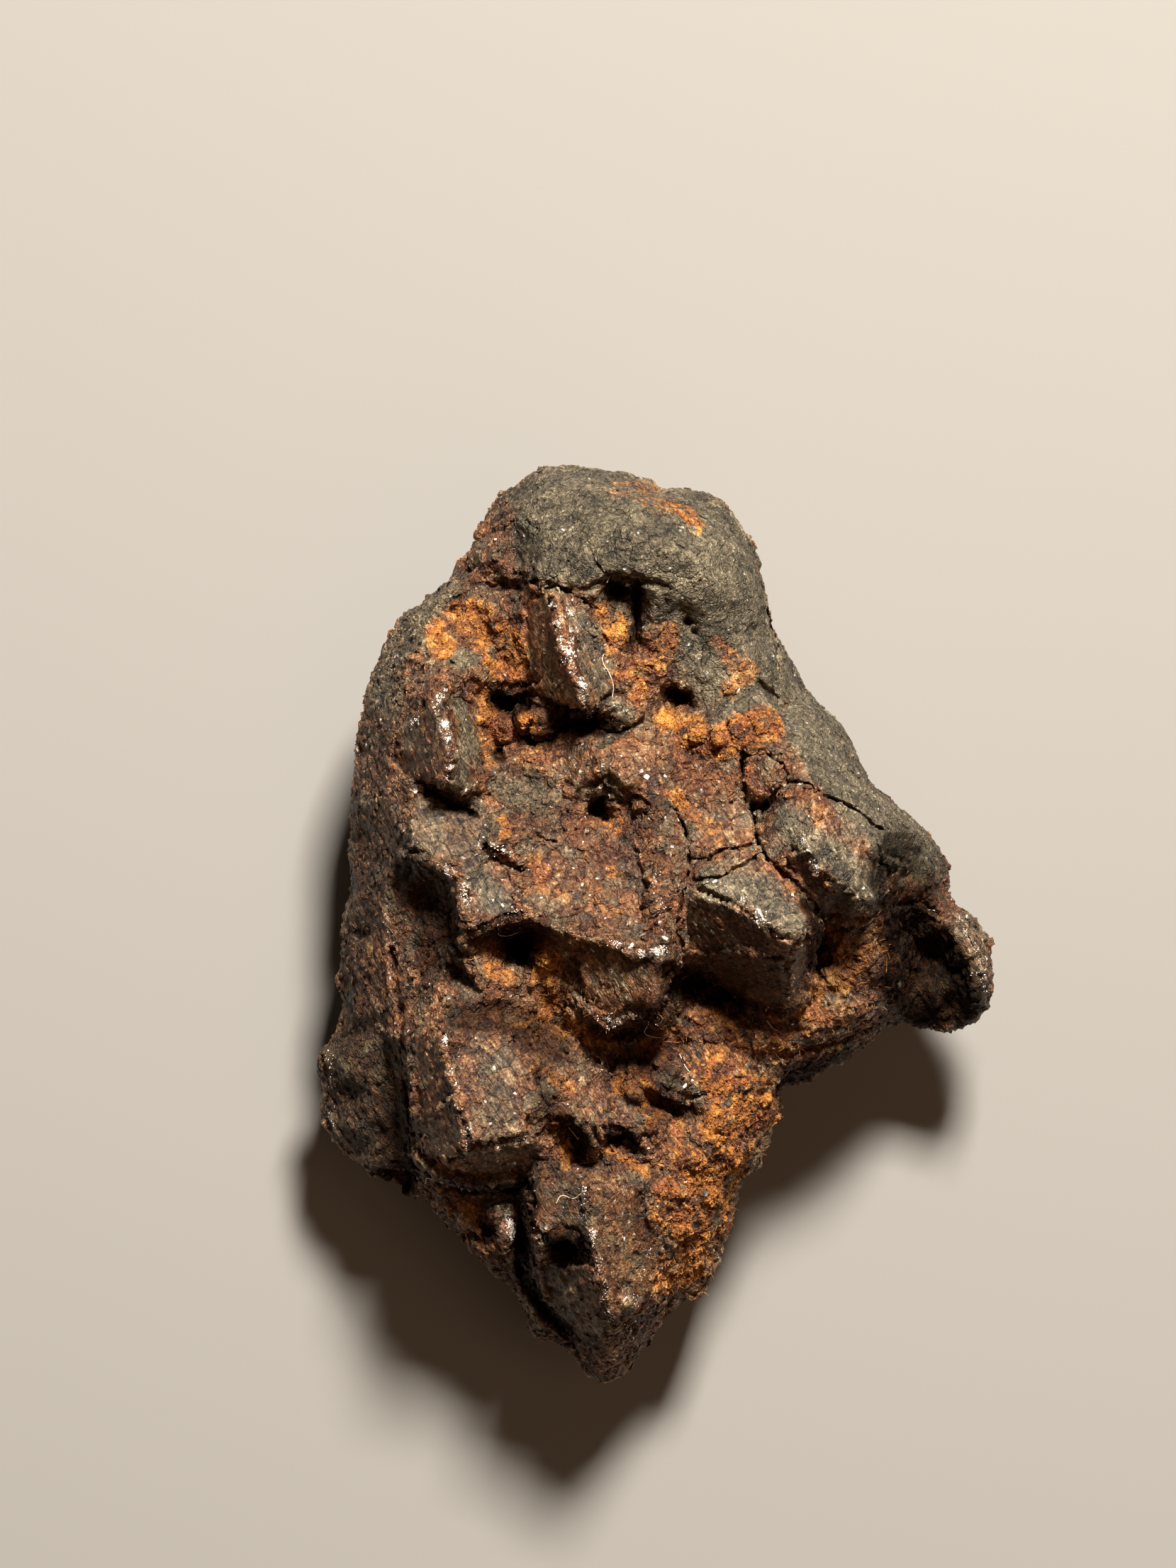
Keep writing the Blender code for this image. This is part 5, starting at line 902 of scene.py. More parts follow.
CRUST = {
    "dome": (1.0, 4.4, [(-3.0, 17.0), (-0.4, 16.6), (1.8, 15.2), (3.2, 13.2), (4.0, 11.4)]),
    "right edge": (1.0, 2.1, [(5.2, 10.6), (6.4, 8.6), (7.6, 6.8), (9.4, 4.9), (10.8, 3.2)]),
    "neck": (0.6, 1.3, [(1.8, 10.4), (2.6, 9.6), (4.4, 9.6)]),
    "left rim": (0.7, 1.0, [(-8.6, 14.0), (-9.9, 12.6), (-10.9, 11.0), (-11.4, 9.4)]),
    "hollow rim": (0.8, 0.6, [(-8.3, 11.3), (-7.6, 11.0), (-7.0, 11.4)]),
    "wedge right": (0.6, 0.8, [(-2.7, 12.3), (-2.6, 11.0), (-2.3, 9.9)]),
    "left crest right": (0.8, 0.55, [(-8.0, 9.2), (-7.9, 8.2), (-7.9, 7.2), (-8.1, 6.2)]),
    "plateau left": (0.5, 1.5, [(-9.6, 4.0), (-8.2, 3.8), (-7.2, 3.9)]),
    "bright plate": (0.8, 0.8, [(-7.3, 1.9), (-6.7, 1.4), (-6.6, 0.8)]),
    "middle left": (0.6, 0.7, [(-6.4, 5.8), (-5.6, 5.3), (-4.8, 5.2)]),
    "grey lump": (1.0, 0.6, [(-1.6, 9.0), (-1.1, 8.8)]),
    "block top": (0.8, 1.1, [(2.2, 1.8), (3.6, 1.7), (4.8, 1.0), (5.4, 0.2)]),
    "nose": (0.8, 1.2, [(5.6, 4.2), (6.8, 3.2), (7.9, 2.3), (8.5, 1.4)]),
    "facet": (0.35, 1.3, [(-6.9, -5.4), (-6.5, -6.8), (-6.5, -8.2)]),
    "lobe": (0.3, 2.6, [(-12.2, -5.6), (-12.0, -8.4)]),
    "spine": (0.2, 1.3, [(-1.9, -10.6), (-1.8, -12.4), (-1.4, -14.2)]),
    "foot": (0.15, 1.6, [(-2.2, -16.0), (-2.1, -18.2)]),
    "lower left": (0.25, 1.2, [(-8.6, -11.0), (-7.4, -12.8), (-6.4, -13.6)]),
    "slot flakes": (0.6, 0.6, [(0.2, -6.4), (0.9, -6.7), (1.7, -6.9)]),
    "arm rim": (0.5, 0.8, [(12.8, 0.0), (13.6, -1.6), (13.5, -3.2)]),
}

# painted shade: black painted into caves, cracks and slots, and darkening painted over faces that lie in
# shadow
PAINTED_SHADE = {
    "crevice": (1.0, 0.55, [(-4.1, 8.45), (-3.2, 8.35), (-2.3, 8.3), (-1.5, 8.2)]),
    "lump": (0.8, 0.4, [(-5.1, 7.75), (-4.4, 7.75)]),
    "left hole": (1.0, 0.7, [(-6.5, 9.35), (-5.9, 9.1), (-5.5, 9.3)]),
    "hole": (1.0, 0.5, [(-2.5, 4.95), (-2.2, 4.95)]),
    "small hole": (0.9, 0.35, [(-6.6, 7.1), (-6.4, 7.0)]),
    "brow holes": (1.0, 0.45, [(-1.75, 13.95), (-1.45, 13.9)]),
    "brow right": (0.9, 0.35, [(-0.8, 13.9), (-0.6, 13.8)]),
    "gully": (0.7, 0.35, [(-0.8, 13.5), (-0.75, 12.4), (-1.1, 11.6)]),
    "neck hole": (1.0, 0.45, [(0.6, 9.6), (1.3, 9.4)]),
    "arch": (1.0, 0.75, [(-6.1, -0.4), (-5.6, -0.9), (-5.1, -0.6)]),
    "under arch": (0.65, 0.7, [(-7.2, -0.5), (-6.2, -0.3), (-4.8, -0.2)]),
    "left face": (0.6, 1.4, [(-10.0, 2.0), (-9.2, 1.2), (-9.0, 0.0), (-9.0, -1.2)]),
    "beak": (0.7, 0.6, [(0.6, -1.6), (0.6, -2.8), (0.3, -3.9), (-1.2, -4.4), (-2.4, -4.3)]),
    "block foot": (0.9, 0.9, [(1.2, -2.2), (2.2, -2.6), (3.2, -3.2)]),
    "block face": (0.45, 1.1, [(2.4, -1.4), (3.6, -1.8), (4.6, -2.2)]),
    "gap": (0.95, 0.55, [(6.2, 1.0), (6.6, 0.3), (6.7, -0.6), (6.5, -1.4)]),
    "right of nose": (0.85, 0.9, [(9.3, 2.4), (9.6, 1.6), (9.8, 0.8)]),
    "arm": (0.8, 1.9, [(10.6, -0.4), (11.2, -1.6), (11.8, -2.6)]),
    "arm edge": (0.6, 0.9, [(10.2, -3.3), (11.6, -3.8)]),
    "slope lip": (0.7, 0.7, [(5.6, -6.1), (6.8, -5.8), (8.0, -5.3)]),
    "shelf": (0.7, 0.5, [(0.0, -7.3), (0.9, -7.5), (1.6, -7.7)]),
    "slit": (0.95, 0.4, [(-1.8, -8.65), (-0.9, -8.7)]),
    "bay": (0.75, 0.55, [(-4.0, -7.9), (-3.3, -8.3), (-2.9, -9.0)]),
    "groove": (0.8, 0.35, [(-8.9, -10.7), (-7.6, -10.95), (-5.6, -10.9)]),
    "slot": (0.95, 0.5, [
        (-5.3, -10.8), (-5.3, -12.0), (-5.6, -13.2), (-5.5, -14.6), (-4.7, -15.9), (-3.7, -17.0)]),
    "plate hole": (1.0, 0.7, [(-4.1, -13.1), (-3.4, -13.1)]),
    "lobe hole": (1.0, 0.9, [(-10.4, -10.2), (-10.8, -10.9), (-11.3, -10.8)]),
    "knob pit": (0.7, 0.5, [(-7.1, -12.4), (-6.8, -12.8)]),
    "left slit": (0.95, 0.3, [(-9.6, 5.65), (-8.9, 5.4), (-8.0, 4.85), (-7.5, 4.65)]),
    "arm dark": (1.0, 1.7, [
        (10.3, 0.0), (11.0, -1.0), (11.8, -1.6), (12.5, -3.0), (11.2, -3.2), (10.4, -2.4)]),
    "arm outer": (0.65, 1.3, [(9.9, 3.2), (10.6, 2.4), (11.0, 1.4), (10.2, 0.8)]),
    "lobe shade": (0.5, 2.6, [(-12.4, -6.0), (-11.4, -8.4)]),
    "wall shade": (0.35, 1.6, [(-12.4, 4.0), (-12.6, 0.0), (-12.2, -3.6)]),
    "foot shade": (0.15, 1.4, [(-4.4, -14.6), (-3.6, -16.0), (-3.0, -17.2)]),
    "plate shade": (0.4, 1.2, [(-4.4, -10.4), (-3.8, -11.4), (-3.6, -12.2)]),
    "shelf shade": (0.45, 1.0, [(-0.9, -5.6), (0.4, -5.6), (0.0, -7.6), (-1.5, -6.2)]),
    "gap shade": (0.15, 1.0, [(-0.6, -4.4), (1.6, -4.0), (3.6, -4.1), (5.2, -4.4)]),
    "slope shade": (0.15, 1.6, [(6.4, -2.0), (7.4, -3.4), (8.6, -3.0), (9.2, -1.0)]),
    "under shard": (0.55, 1.1, [(-8.0, -3.7), (-6.6, -3.6), (-5.4, -4.0), (-4.2, -5.0)]),
    "right of facet": (0.4, 0.7, [(-4.7, -5.4), (-4.5, -6.8), (-4.4, -8.2)]),
}

# painted light: faces painted lighter where the lamps leave them too dark
PAINTED_LIGHT_PLACES = {
    "wedge left": (0.6, 0.8, [(-4.7, 12.6), (-4.3, 11.0), (-3.6, 9.8)]),
    "beak": (0.6, 0.9, [(-2.2, -1.2), (-1.3, -2.4), (-0.6, -3.0)]),
    "shelf": (0.9, 0.8, [(-8.4, -9.7), (-6.8, -9.8), (-5.4, -9.6)]),
    "spine": (0.7, 1.3, [(-1.9, -10.8), (-1.7, -12.6), (-1.2, -14.6)]),
    "foot": (0.6, 1.3, [(-1.4, -15.8), (-1.9, -17.4)]),
    "dome right": (0.4, 1.4, [(2.6, 15.4), (3.4, 13.4)]),
}

MARK_SOFTNESS = 0.6         # share of a mark's radius over which it fades
BARE_AND_HIGHLIGHT_HALF_WIDTH = 0.078     # mm on each side of a worn crest
WIDE_SHAKE = (1.4, 0.45)    # size and strength of the shake, mm
SPECKLE_SIZE = 0.7          # mm
PATCH_SIZE = 2.6            # mm


def named(flat, table):
    """How much each point belongs to any of the marks of a table, 0 to 1."""
    return painted(flat, table.values(), MARK_SOFTNESS)


def store(mesh, name, values):
    """Keeps one number per point on the mesh, for the material to read."""
    kept = mesh.attributes.new(name, "FLOAT", "POINT")
    kept.data.foreach_set("value", values.astype(np.float32))


wide = shaken(places, *WIDE_SHAKE)[:, :2]
upper = ramp_up(normals[:, 2], -0.1, 0.2)
speckle = np.array([noise.fractal(Vector(place) / SPECKLE_SIZE, 0.9, 2.0, 4) for place in places])
patches = noise_over(places, PATCH_SIZE)
# on the unseen sides rust and crust come in broad patches, and everywhere rust sits in hollows
rust = named(wide, RUST) * upper * ramp_up(0.9 + speckle, 0.2, 1.0)
rust = np.maximum(rust, (1.0 - upper) * 0.55 * ramp_up(patches, 0.0, 0.5))
rust = np.maximum(rust, 0.5 * ramp_up(-form, 0.05, 0.28) * ramp_up(speckle, -0.3, 0.3))
crust = named(wide, CRUST) * upper + (1.0 - upper) * 0.5 * ramp_up(-patches, -0.2, 0.4)
# painted shade: the named marks, and whatever lies low, are painted darker where shade falls
painted_shade = np.maximum(named(flat, PAINTED_SHADE) * upper, ramp_up(-form, 0.16, 0.55))

# bare metal along the ridges, painted near-white later: partly worn metal, partly a painted highlight
bare = np.zeros(len(places))
for _, _, share, line in RIDGES.values():
    near, distance, _ = follow(flat, line, BARE_AND_HIGHLIGHT_HALF_WIDTH)
    bare[near] = np.maximum(bare[near], share * (1.0 - distance / BARE_AND_HIGHLIGHT_HALF_WIDTH))
bare *= upper * ramp_up(speckle, -0.30, 0.05) * (1.0 - painted_shade)
# rubbed crests are lighter as real wear, and the named places are painted light
wear_and_painted_light = np.maximum(ramp_up(edge, 0.0, 0.06), named(wide, PAINTED_LIGHT_PLACES) * upper) * (1.0 - painted_shade)

facets = np.zeros(len(places))
for strength, _, outline in FACETS.values():
    facets = np.maximum(facets, strength * ramp_up(inside_outline(flat, outline), 0.0, SCRAPE_SOFTNESS))
facets *= upper
rust *= 1.0 - 0.85 * facets ** 2       # a clean break holds little rust

crumbs = ramp_up(rust, 0.35, 0.8) * upper * (1.0 - 0.5 * painted_shade)
crumbs *= 1.0 - 0.85 * in_zones(flat, "hollow")
# flakes reach round the rim of the stone, but not down to the table
around = ramp_up(normals[:, 2] + 0.3 * patches, -0.75, 0.1) * ramp_up(places[:, 2], 0.4, 1.4)
flakes = (1.0 - ramp_up(rust, 0.3, 0.7)) * around * (1.0 - 0.75 * crust) * (1.0 - painted_shade)
flakes *= 1.0 - np.maximum(0.6 * in_zones(flat, "dome"), 0.9 * facets)
combed = np.maximum(in_zones(flat, "facet", *COMBED_ZONES), 0.9 * facets)
combed = np.maximum(combed, 0.75 * ramp_up(-places[:, 1], 2.0, 5.0))
hairs = in_zones(flat, "slope", "fan", "under arch", "hollow")
hairs *= upper * (0.35 + 0.65 * rust) * (1.0 - 0.5 * painted_shade)
answers = {
    "rust": rust, "crust": crust, "painted_shade": painted_shade, "bare": bare, "wear_and_painted_light": wear_and_painted_light, "combed": combed,
    "facets": facets, "crumbs": crumbs, "flakes": flakes, "hairs": hairs,
}
for name, values in answers.items():
    store(stone.data, name, values)
    print(name, "covers", round(float((values > 0.5).mean() * 100), 1), "% of the points")

# %% [markdown]
# The stone's material is one shader for one surface in several states. Under everything is iron oxide: umber
# brown, half glossy, with darker and paler grains. The fusion crust that melted on the way down is greyer and
# drier. Limonite rust is matte and orange, and where rubbing took the oxide off, the nickel-iron shows as
# near-white metal, partly worn metal and partly a painted highlight. Black painted shade fills the caves.
# Each state has its own colour ramp, driven by noise whose scale comes from real sizes: grains 0.12 mm,
# flecks 0.34 mm, blotches 2.2 mm. A lit stone is dull without its grains, so those get the most contrast.

# %% Weathered iron: colours
OXIDE = [(0.26, "#130905"), (0.42, "#3d2415"), (0.56, "#69452b"), (0.68, "#916a46"), (0.82, "#cfaa80")]
FUSION_CRUST = [(0.26, "#17140e"), (0.42, "#413a2c"), (0.56, "#675b46"), (0.68, "#887a60"), (0.82, "#c2b594")]
LIMONITE = [(0.26, "#331405"), (0.42, "#7b4413"), (0.56, "#b06d25"), (0.68, "#d48f3b"), (0.82, "#ecb868")]
RED_RUST = [(0.26, "#1f0a05"), (0.42, "#55250f"), (0.56, "#8b4822"), (0.68, "#b36c39"), (0.82, "#d99a6c")]
HAIRS = [(0.25, "#683a14"), (0.50, "#a66726"), (0.75, "#daa252")]
# near-white bare metal: partly worn metal and partly a painted highlight
BARE_METAL_HIGHLIGHT = "#efe9df"
# painted shade: the black that is painted into caves and hollows
PAINTED_SHADE_BLACK = "#0a0504"
# how much lighter the worn crests and the places of painted light are
WEAR_AND_LIGHT_LIFT = 0.10
GRAIN_CONTRAST = 0.95
FLECK_CONTRAST = 0.62
BLOTCH_CONTRAST = 0.40
CRYSTAL_SIZE = 0.10         # mm
CRYSTAL_CONTRAST = 0.10
CHIP_SIZES = (0.70, 0.20)   # mm
CHIP_CONTRAST = 0.11
SEAM_WIDTH = 0.06           # of a chip's size
SEAM_DARKER = 0.07
RAGGED_SIZE = 0.35          # mm, of the noise that frays the borders of the chips
RAGGED_PUSH = 0.30          # mm
STREAK_STRETCH = (1.0, 6.0, 3.0)    # streaks are six times as long as wide
MIDDLE = 0.49               # where the sum of all noises should lie on the colour ramps

# name: (size mm, detail, roughness, curl); curl bends a noise into fibres
NOISES = {
    "grain": (0.12, 3.0, 0.8, 1.3),
    "fleck": (0.34, 5.0, 0.72, 1.0),
    "blotch": (2.2, 4.0, 0.6, 0.0),
    "hue": (1.5, 3.0, 0.6, 0.5),
    "pits": (0.14, 3.0, 0.7, 0.0),
    "streak": (0.10, 3.0, 0.7, 0.8),
}


def stops(table):
    """The colour stops of a table of places and hex values."""
    return [(place, colour(value)) for place, value in table]


def per_metre(size_mm):
    """Texture scale for features of this size, on coordinates in metres."""
    return 1.0 / (size_mm * MM)


def sum_of(tree, *terms):
    """Adds up sockets, each times its factor: (socket, factor) pairs."""
    total = 0.0
    for socket, factor in terms:
        step = {0: socket, 1: factor, 2: total}
        total = add_node(tree, "ShaderNodeMath", step, operation="MULTIPLY_ADD").outputs[0]
    return total


iron, tree = empty_material("weathered meteoric iron")
states = {}
for name in ("rust", "crust", "painted_shade", "bare", "wear_and_painted_light", "combed", "facets"):
    states[name] = add_node(tree, "ShaderNodeAttribute", attribute_name=name).outputs["Fac"]
across = add_node(tree, "ShaderNodeTexCoord").outputs["Object"]
along = add_node(tree, "ShaderNodeMapping", {
    "Vector": across, "Rotation": (0.0, 0.0, COMBED_TURN), "Scale": STREAK_STRETCH},
    vector_type="TEXTURE").outputs["Vector"]
noises = {}
for name, (size, detail, roughness, curl) in NOISES.items():
    noises[name] = add_node(tree, "ShaderNodeTexNoise", {
        "Vector": along if name == "streak" else across, "Scale": per_metre(size),
        "Detail": detail, "Roughness": roughness, "Distortion": curl}).outputs["Fac"]
fleck = noises["fleck"]
grain = add_node(tree, "ShaderNodeMix", {
    0: states["combed"], 2: noises["grain"], 3: noises["streak"]}).outputs[0]
crystal = add_node(tree, "ShaderNodeTexVoronoi", {"Vector": across, "Scale": per_metre(CRYSTAL_SIZE)})
crystal_number = add_node(tree, "ShaderNodeSeparateColor", {0: crystal.outputs["Color"]}).outputs
push = add_node(tree, "ShaderNodeTexNoise", {
    "Vector": across, "Scale": per_metre(RAGGED_SIZE), "Detail": 2.0, "Roughness": 0.6})
ragged = add_node(tree, "ShaderNodeVectorMath", {
    0: push.outputs["Color"], 1: in_mm(RAGGED_PUSH, RAGGED_PUSH, RAGGED_PUSH), 2: across},
    operation="MULTIPLY_ADD").outputs[0]
chips = []
for chip_size in CHIP_SIZES:
    chip = add_node(tree, "ShaderNodeTexVoronoi", {"Vector": ragged, "Scale": per_metre(chip_size)})
    chips.append(add_node(tree, "ShaderNodeSeparateColor", {0: chip.outputs["Color"]}).outputs)
border = add_node(tree, "ShaderNodeTexVoronoi", {
    "Vector": ragged, "Scale": per_metre(CHIP_SIZES[0])}, feature="DISTANCE_TO_EDGE")
seam = add_node(tree, "ShaderNodeMapRange", {
    "Value": border.outputs["Distance"], "From Max": SEAM_WIDTH, "To Min": 1.0, "To Max": 0.0}).outputs[0]
speckled = sum_of(
    tree, (grain, GRAIN_CONTRAST), (fleck, FLECK_CONTRAST), (noises["blotch"], BLOTCH_CONTRAST),
    (crystal_number[2], CRYSTAL_CONTRAST), (chips[0][0], CHIP_CONTRAST),
    (chips[1][0], CHIP_CONTRAST), (seam, -SEAM_DARKER), (states["wear_and_painted_light"], WEAR_AND_LIGHT_LIFT))
contrasts = GRAIN_CONTRAST + FLECK_CONTRAST + BLOTCH_CONTRAST + CRYSTAL_CONTRAST
noise_middle = 0.5 * contrasts + CHIP_CONTRAST
mottle = add_node(tree, "ShaderNodeMath", {
    0: speckled, 1: noise_middle - MIDDLE}, operation="SUBTRACT").outputs[0]
oxide, crust_tone, limonite, red_rust = [
    add_node(tree, "ShaderNodeValToRGB", {"Fac": mottle}, stops(ramp)).outputs[0]
    for ramp in (OXIDE, FUSION_CRUST, LIMONITE, RED_RUST)]
print("nodes for the colours:", len(tree.nodes))

# %% [markdown]
# Rust never ends in a clean line. Its share is pushed up and down by the fleck noise and then cut steeply, so
# the border breaks into grains. The other states are mixed on top: oxide, crust and rust in the order in
# which they happened to the stone, then bare metal with painted highlights, and last painted shade in the
# caves and hollows. Wear and painted light only lift the oxide's colour a little. A scatter of painted glints
# comes from a Voronoi texture: every cell has a random colour, and only the cells whose red is highest become
# near-white metal.

# %% Mix the states
# painted glints: the crystal cells whose number is above this are painted near-white; worn places and places
# painted lighter lower that number
GLINT_CRYSTALS = 0.995       # the cells whose random number is above this
WEAR_AND_LIGHT_CRYSTALS = 0.008       # a worn place lowers that limit by this much

rust_edge = sum_of(tree, (states["rust"], 1.0), (fleck, 0.8), (grain, 0.35))
rust_share = add_node(tree, "ShaderNodeMapRange", {
    "Value": rust_edge, "From Min": 0.74, "From Max": 1.36}).outputs[0]
crust_share = add_node(tree, "ShaderNodeMapRange", {
    "Value": states["crust"], "From Min": 0.15, "From Max": 0.85}).outputs[0]
luck = sum_of(tree, (crystal_number[0], 1.0), (states["wear_and_painted_light"], WEAR_AND_LIGHT_CRYSTALS))
glint = add_node(tree, "ShaderNodeMapRange", {
    "Value": luck, "From Min": GLINT_CRYSTALS, "From Max": GLINT_CRYSTALS + 0.01}).outputs[0]
dry = add_node(tree, "ShaderNodeMath", {0: 1.0, 1: rust_share}, operation="SUBTRACT").outputs[0]
lit = add_node(tree, "ShaderNodeMath", {0: 1.0, 1: states["painted_shade"]}, operation="SUBTRACT").outputs[0]
for share in (dry, lit):
    glint = add_node(tree, "ShaderNodeMath", {0: glint, 1: share}, operation="MULTIPLY").outputs[0]
# bare metal with its painted highlight along the crests, broken into grains
bare_and_highlight_edge = sum_of(tree, (states["bare"], 1.0), (grain, 0.9), (crystal_number[2], 0.25))
crest = add_node(tree, "ShaderNodeMapRange", {
    "Value": bare_and_highlight_edge, "From Min": 0.98, "From Max": 1.10}).outputs[0]
bare_and_highlight_share = add_node(tree, "ShaderNodeMath", {0: crest, 1: glint}, operation="MAXIMUM").outputs[0]

hue = sum_of(tree, (noises["hue"], 0.65), (chips[0][1], 0.22), (chips[1][1], 0.13))
olive_share = add_node(tree, "ShaderNodeMapRange", {
    "Value": hue, "From Min": 0.49, "From Max": 0.62, "To Max": 0.65}).outputs[0]
red_share = add_node(tree, "ShaderNodeMapRange", {
    "Value": hue, "From Min": 0.51, "From Max": 0.38, "To Max": 0.9}).outputs[0]
red_allowed = add_node(tree, "ShaderNodeMapRange", {
    "Value": states["combed"], "To Min": 0.40, "To Max": 0.12}).outputs[0]
red_oxide_share = add_node(tree, "ShaderNodeMath", {
    0: red_share, 1: red_allowed}, operation="MULTIPLY").outputs[0]
rust_tone = add_node(tree, "ShaderNodeMix", {
    0: red_share, 6: limonite, 7: red_rust}, data_type="RGBA").outputs[2]
# painted shade: black laid over the colour where shade falls, its edge frayed by noise
dark_edge = sum_of(tree, (states["painted_shade"], 1.0), (fleck, 0.7), (grain, 0.5))
dark_share = add_node(tree, "ShaderNodeMapRange", {
    "Value": dark_edge, "From Min": 0.66, "From Max": 1.50, "To Max": 0.88}).outputs[0]
layers = [
    (olive_share, crust_tone), (red_oxide_share, red_rust), (crust_share, crust_tone),
    (rust_share, rust_tone), (bare_and_highlight_share, colour(BARE_METAL_HIGHLIGHT)), (dark_share, colour(PAINTED_SHADE_BLACK))]
tone = oxide
for share, top in layers:
    tone = add_node(tree, "ShaderNodeMix", {0: share, 6: tone, 7: top}, data_type="RGBA").outputs[2]
print("layers of colour:", len(layers))

# %% [markdown]
# Gloss sells the metal. The oxide is partly metallic, with a roughness that jumps from crystal
# to crystal, so single faces sparkle as the stone is turned. Rust is matte and not metallic at
# all. A fine bump tilts the grains. It is only for what is smaller than the mesh can hold.

# %% Gloss and fine bump
BUMP_DEPTH = 0.15           # mm

gloss = add_node(tree, "ShaderNodeMapRange", {
    "Value": crystal_number[1], "To Min": 0.34, "To Max": 0.66}).outputs[0]
for share, roughness in ((rust_share, 0.95), (bare_and_highlight_share, 0.38)):
    gloss = add_node(tree, "ShaderNodeMix", {0: share, 2: gloss, 3: roughness}).outputs[0]
metal = add_node(tree, "ShaderNodeMapRange", {
    "Value": rust_share, "To Min": 0.30, "To Max": 0.0}).outputs[0]
bare_metal = add_node(tree, "ShaderNodeMath", {0: bare_and_highlight_share, 1: 0.55}, operation="MULTIPLY").outputs[0]
metal = add_node(tree, "ShaderNodeMath", {0: metal, 1: bare_metal}, operation="MAXIMUM").outputs[0]
# no metal shows under the painted shade
metal = add_node(tree, "ShaderNodeMath", {0: metal, 1: lit}, operation="MULTIPLY").outputs[0]
pitting = add_node(tree, "ShaderNodeMix", {
    0: states["combed"], 2: noises["pits"], 3: noises["streak"]}).outputs[0]
grit = sum_of(tree, (pitting, 1.0), (crystal.outputs["Distance"], 0.4), (fleck, 0.8), (seam, -0.4))
roughened = add_node(tree, "ShaderNodeMapRange", {
    "Value": states["facets"], "To Min": 0.9, "To Max": 0.55}).outputs[0]
bump = add_node(tree, "ShaderNodeBump", {
    "Height": grit, "Strength": roughened, "Distance": BUMP_DEPTH * MM})
# under the painted shade the specular is turned down as well
sheen = add_node(tree, "ShaderNodeMapRange", {
    "Value": dark_share, "From Max": 0.7, "To Min": 0.6, "To Max": 0.05}).outputs[0]
end_material(tree, {
    "Base Color": tone, "Metallic": metal, "Roughness": gloss, "Specular IOR Level": sheen,
    "Normal": bump.outputs[0]})
stone.data.materials.clear()
stone.data.materials.append(iron)
print("nodes in the iron:", len(tree.nodes))

# %% [markdown]
# Real rust is a heap of crumbs, and real oxide sheds small flakes. Thousands of them lie on the
# stone, so nobody places them one by one: a Geometry Nodes tree scatters points over the faces,
# as many as an attribute asks for, turns each a random way and puts a small shape on it. One
# tree serves crumbs, shards, hairs and flakes, as its settings are inputs. The result is made
# into a plain mesh, so it can ride on the stone as any piece does.


# %% The scattering tree
def scattering_tree():
    """Geometry nodes that scatter a shape over a surface by a point attribute of the surface."""
    tree = bpy.data.node_groups.new("scatter", "GeometryNodeTree")
    for label, kind in (
        ("Surface", "Geometry"), ("Shape", "Object"), ("Material", "Material"), ("Where", "String"),
        ("Per square mm", "Float"), ("Smallest", "Vector"), ("Largest", "Vector"),
        ("Tilt", "Vector"), ("Seed", "Int"),
    ):
        tree.interface.new_socket(label, in_out="INPUT", socket_type="NodeSocket" + kind)
    tree.interface.new_socket("Grains", in_out="OUTPUT", socket_type="NodeSocketGeometry")
    given = add_node(tree, "NodeGroupInput").outputs
    wanted = add_node(tree, "GeometryNodeInputNamedAttribute", {
        "Name": given["Where"]}, data_type="FLOAT")
    per_area = add_node(tree, "ShaderNodeMath", {
        0: given["Per square mm"], 1: 1.0 / MM ** 2}, operation="MULTIPLY")
    density = add_node(tree, "ShaderNodeMath", {
        0: wanted.outputs["Attribute"], 1: per_area.outputs[0]}, operation="MULTIPLY")
    points = add_node(tree, "GeometryNodeDistributePointsOnFaces", {
        "Mesh": given["Surface"], "Density": density.outputs[0], "Seed": given["Seed"]})
    backwards = add_node(tree, "ShaderNodeVectorMath", {
        0: given["Tilt"], 1: (-1.0, -1.0, -1.0)}, operation="MULTIPLY")
    turn = add_node(tree, "FunctionNodeRandomValue", {
        0: backwards.outputs[0], 1: given["Tilt"], "Seed": given["Seed"]}, data_type="FLOAT_VECTOR")
    own_turn = add_node(tree, "FunctionNodeEulerToRotation", {0: turn.outputs[0]})
    turned = add_node(tree, "FunctionNodeRotateRotation", {
        "Rotation": points.outputs["Rotation"], "Rotate By": own_turn.outputs[0]}, rotation_space="LOCAL")
    size = add_node(tree, "FunctionNodeRandomValue", {
        0: given["Smallest"], 1: given["Largest"], "Seed": given["Seed"]}, data_type="FLOAT_VECTOR")
    shape = add_node(tree, "GeometryNodeObjectInfo", {"Object": given["Shape"]})
    placed = add_node(tree, "GeometryNodeInstanceOnPoints", {
        "Points": points.outputs["Points"], "Instance": shape.outputs["Geometry"],
        "Rotation": turned.outputs[0], "Scale": size.outputs[0]})
    number = add_node(tree, "FunctionNodeRandomValue", {"Seed": given["Seed"]}, data_type="FLOAT")
    toned = add_node(tree, "GeometryNodeStoreNamedAttribute", {
        "Geometry": placed.outputs[0], "Name": "tone", "Value": number.outputs[1]}, domain="INSTANCE")
    real = add_node(tree, "GeometryNodeRealizeInstances", {0: toned.outputs[0]})
    finished = add_node(tree, "GeometryNodeSetMaterial", {
        "Geometry": real.outputs[0], "Material": given["Material"]})
    add_node(tree, "NodeGroupOutput", {"Grains": finished.outputs[0]})
    return tree


scatter_nodes = scattering_tree()


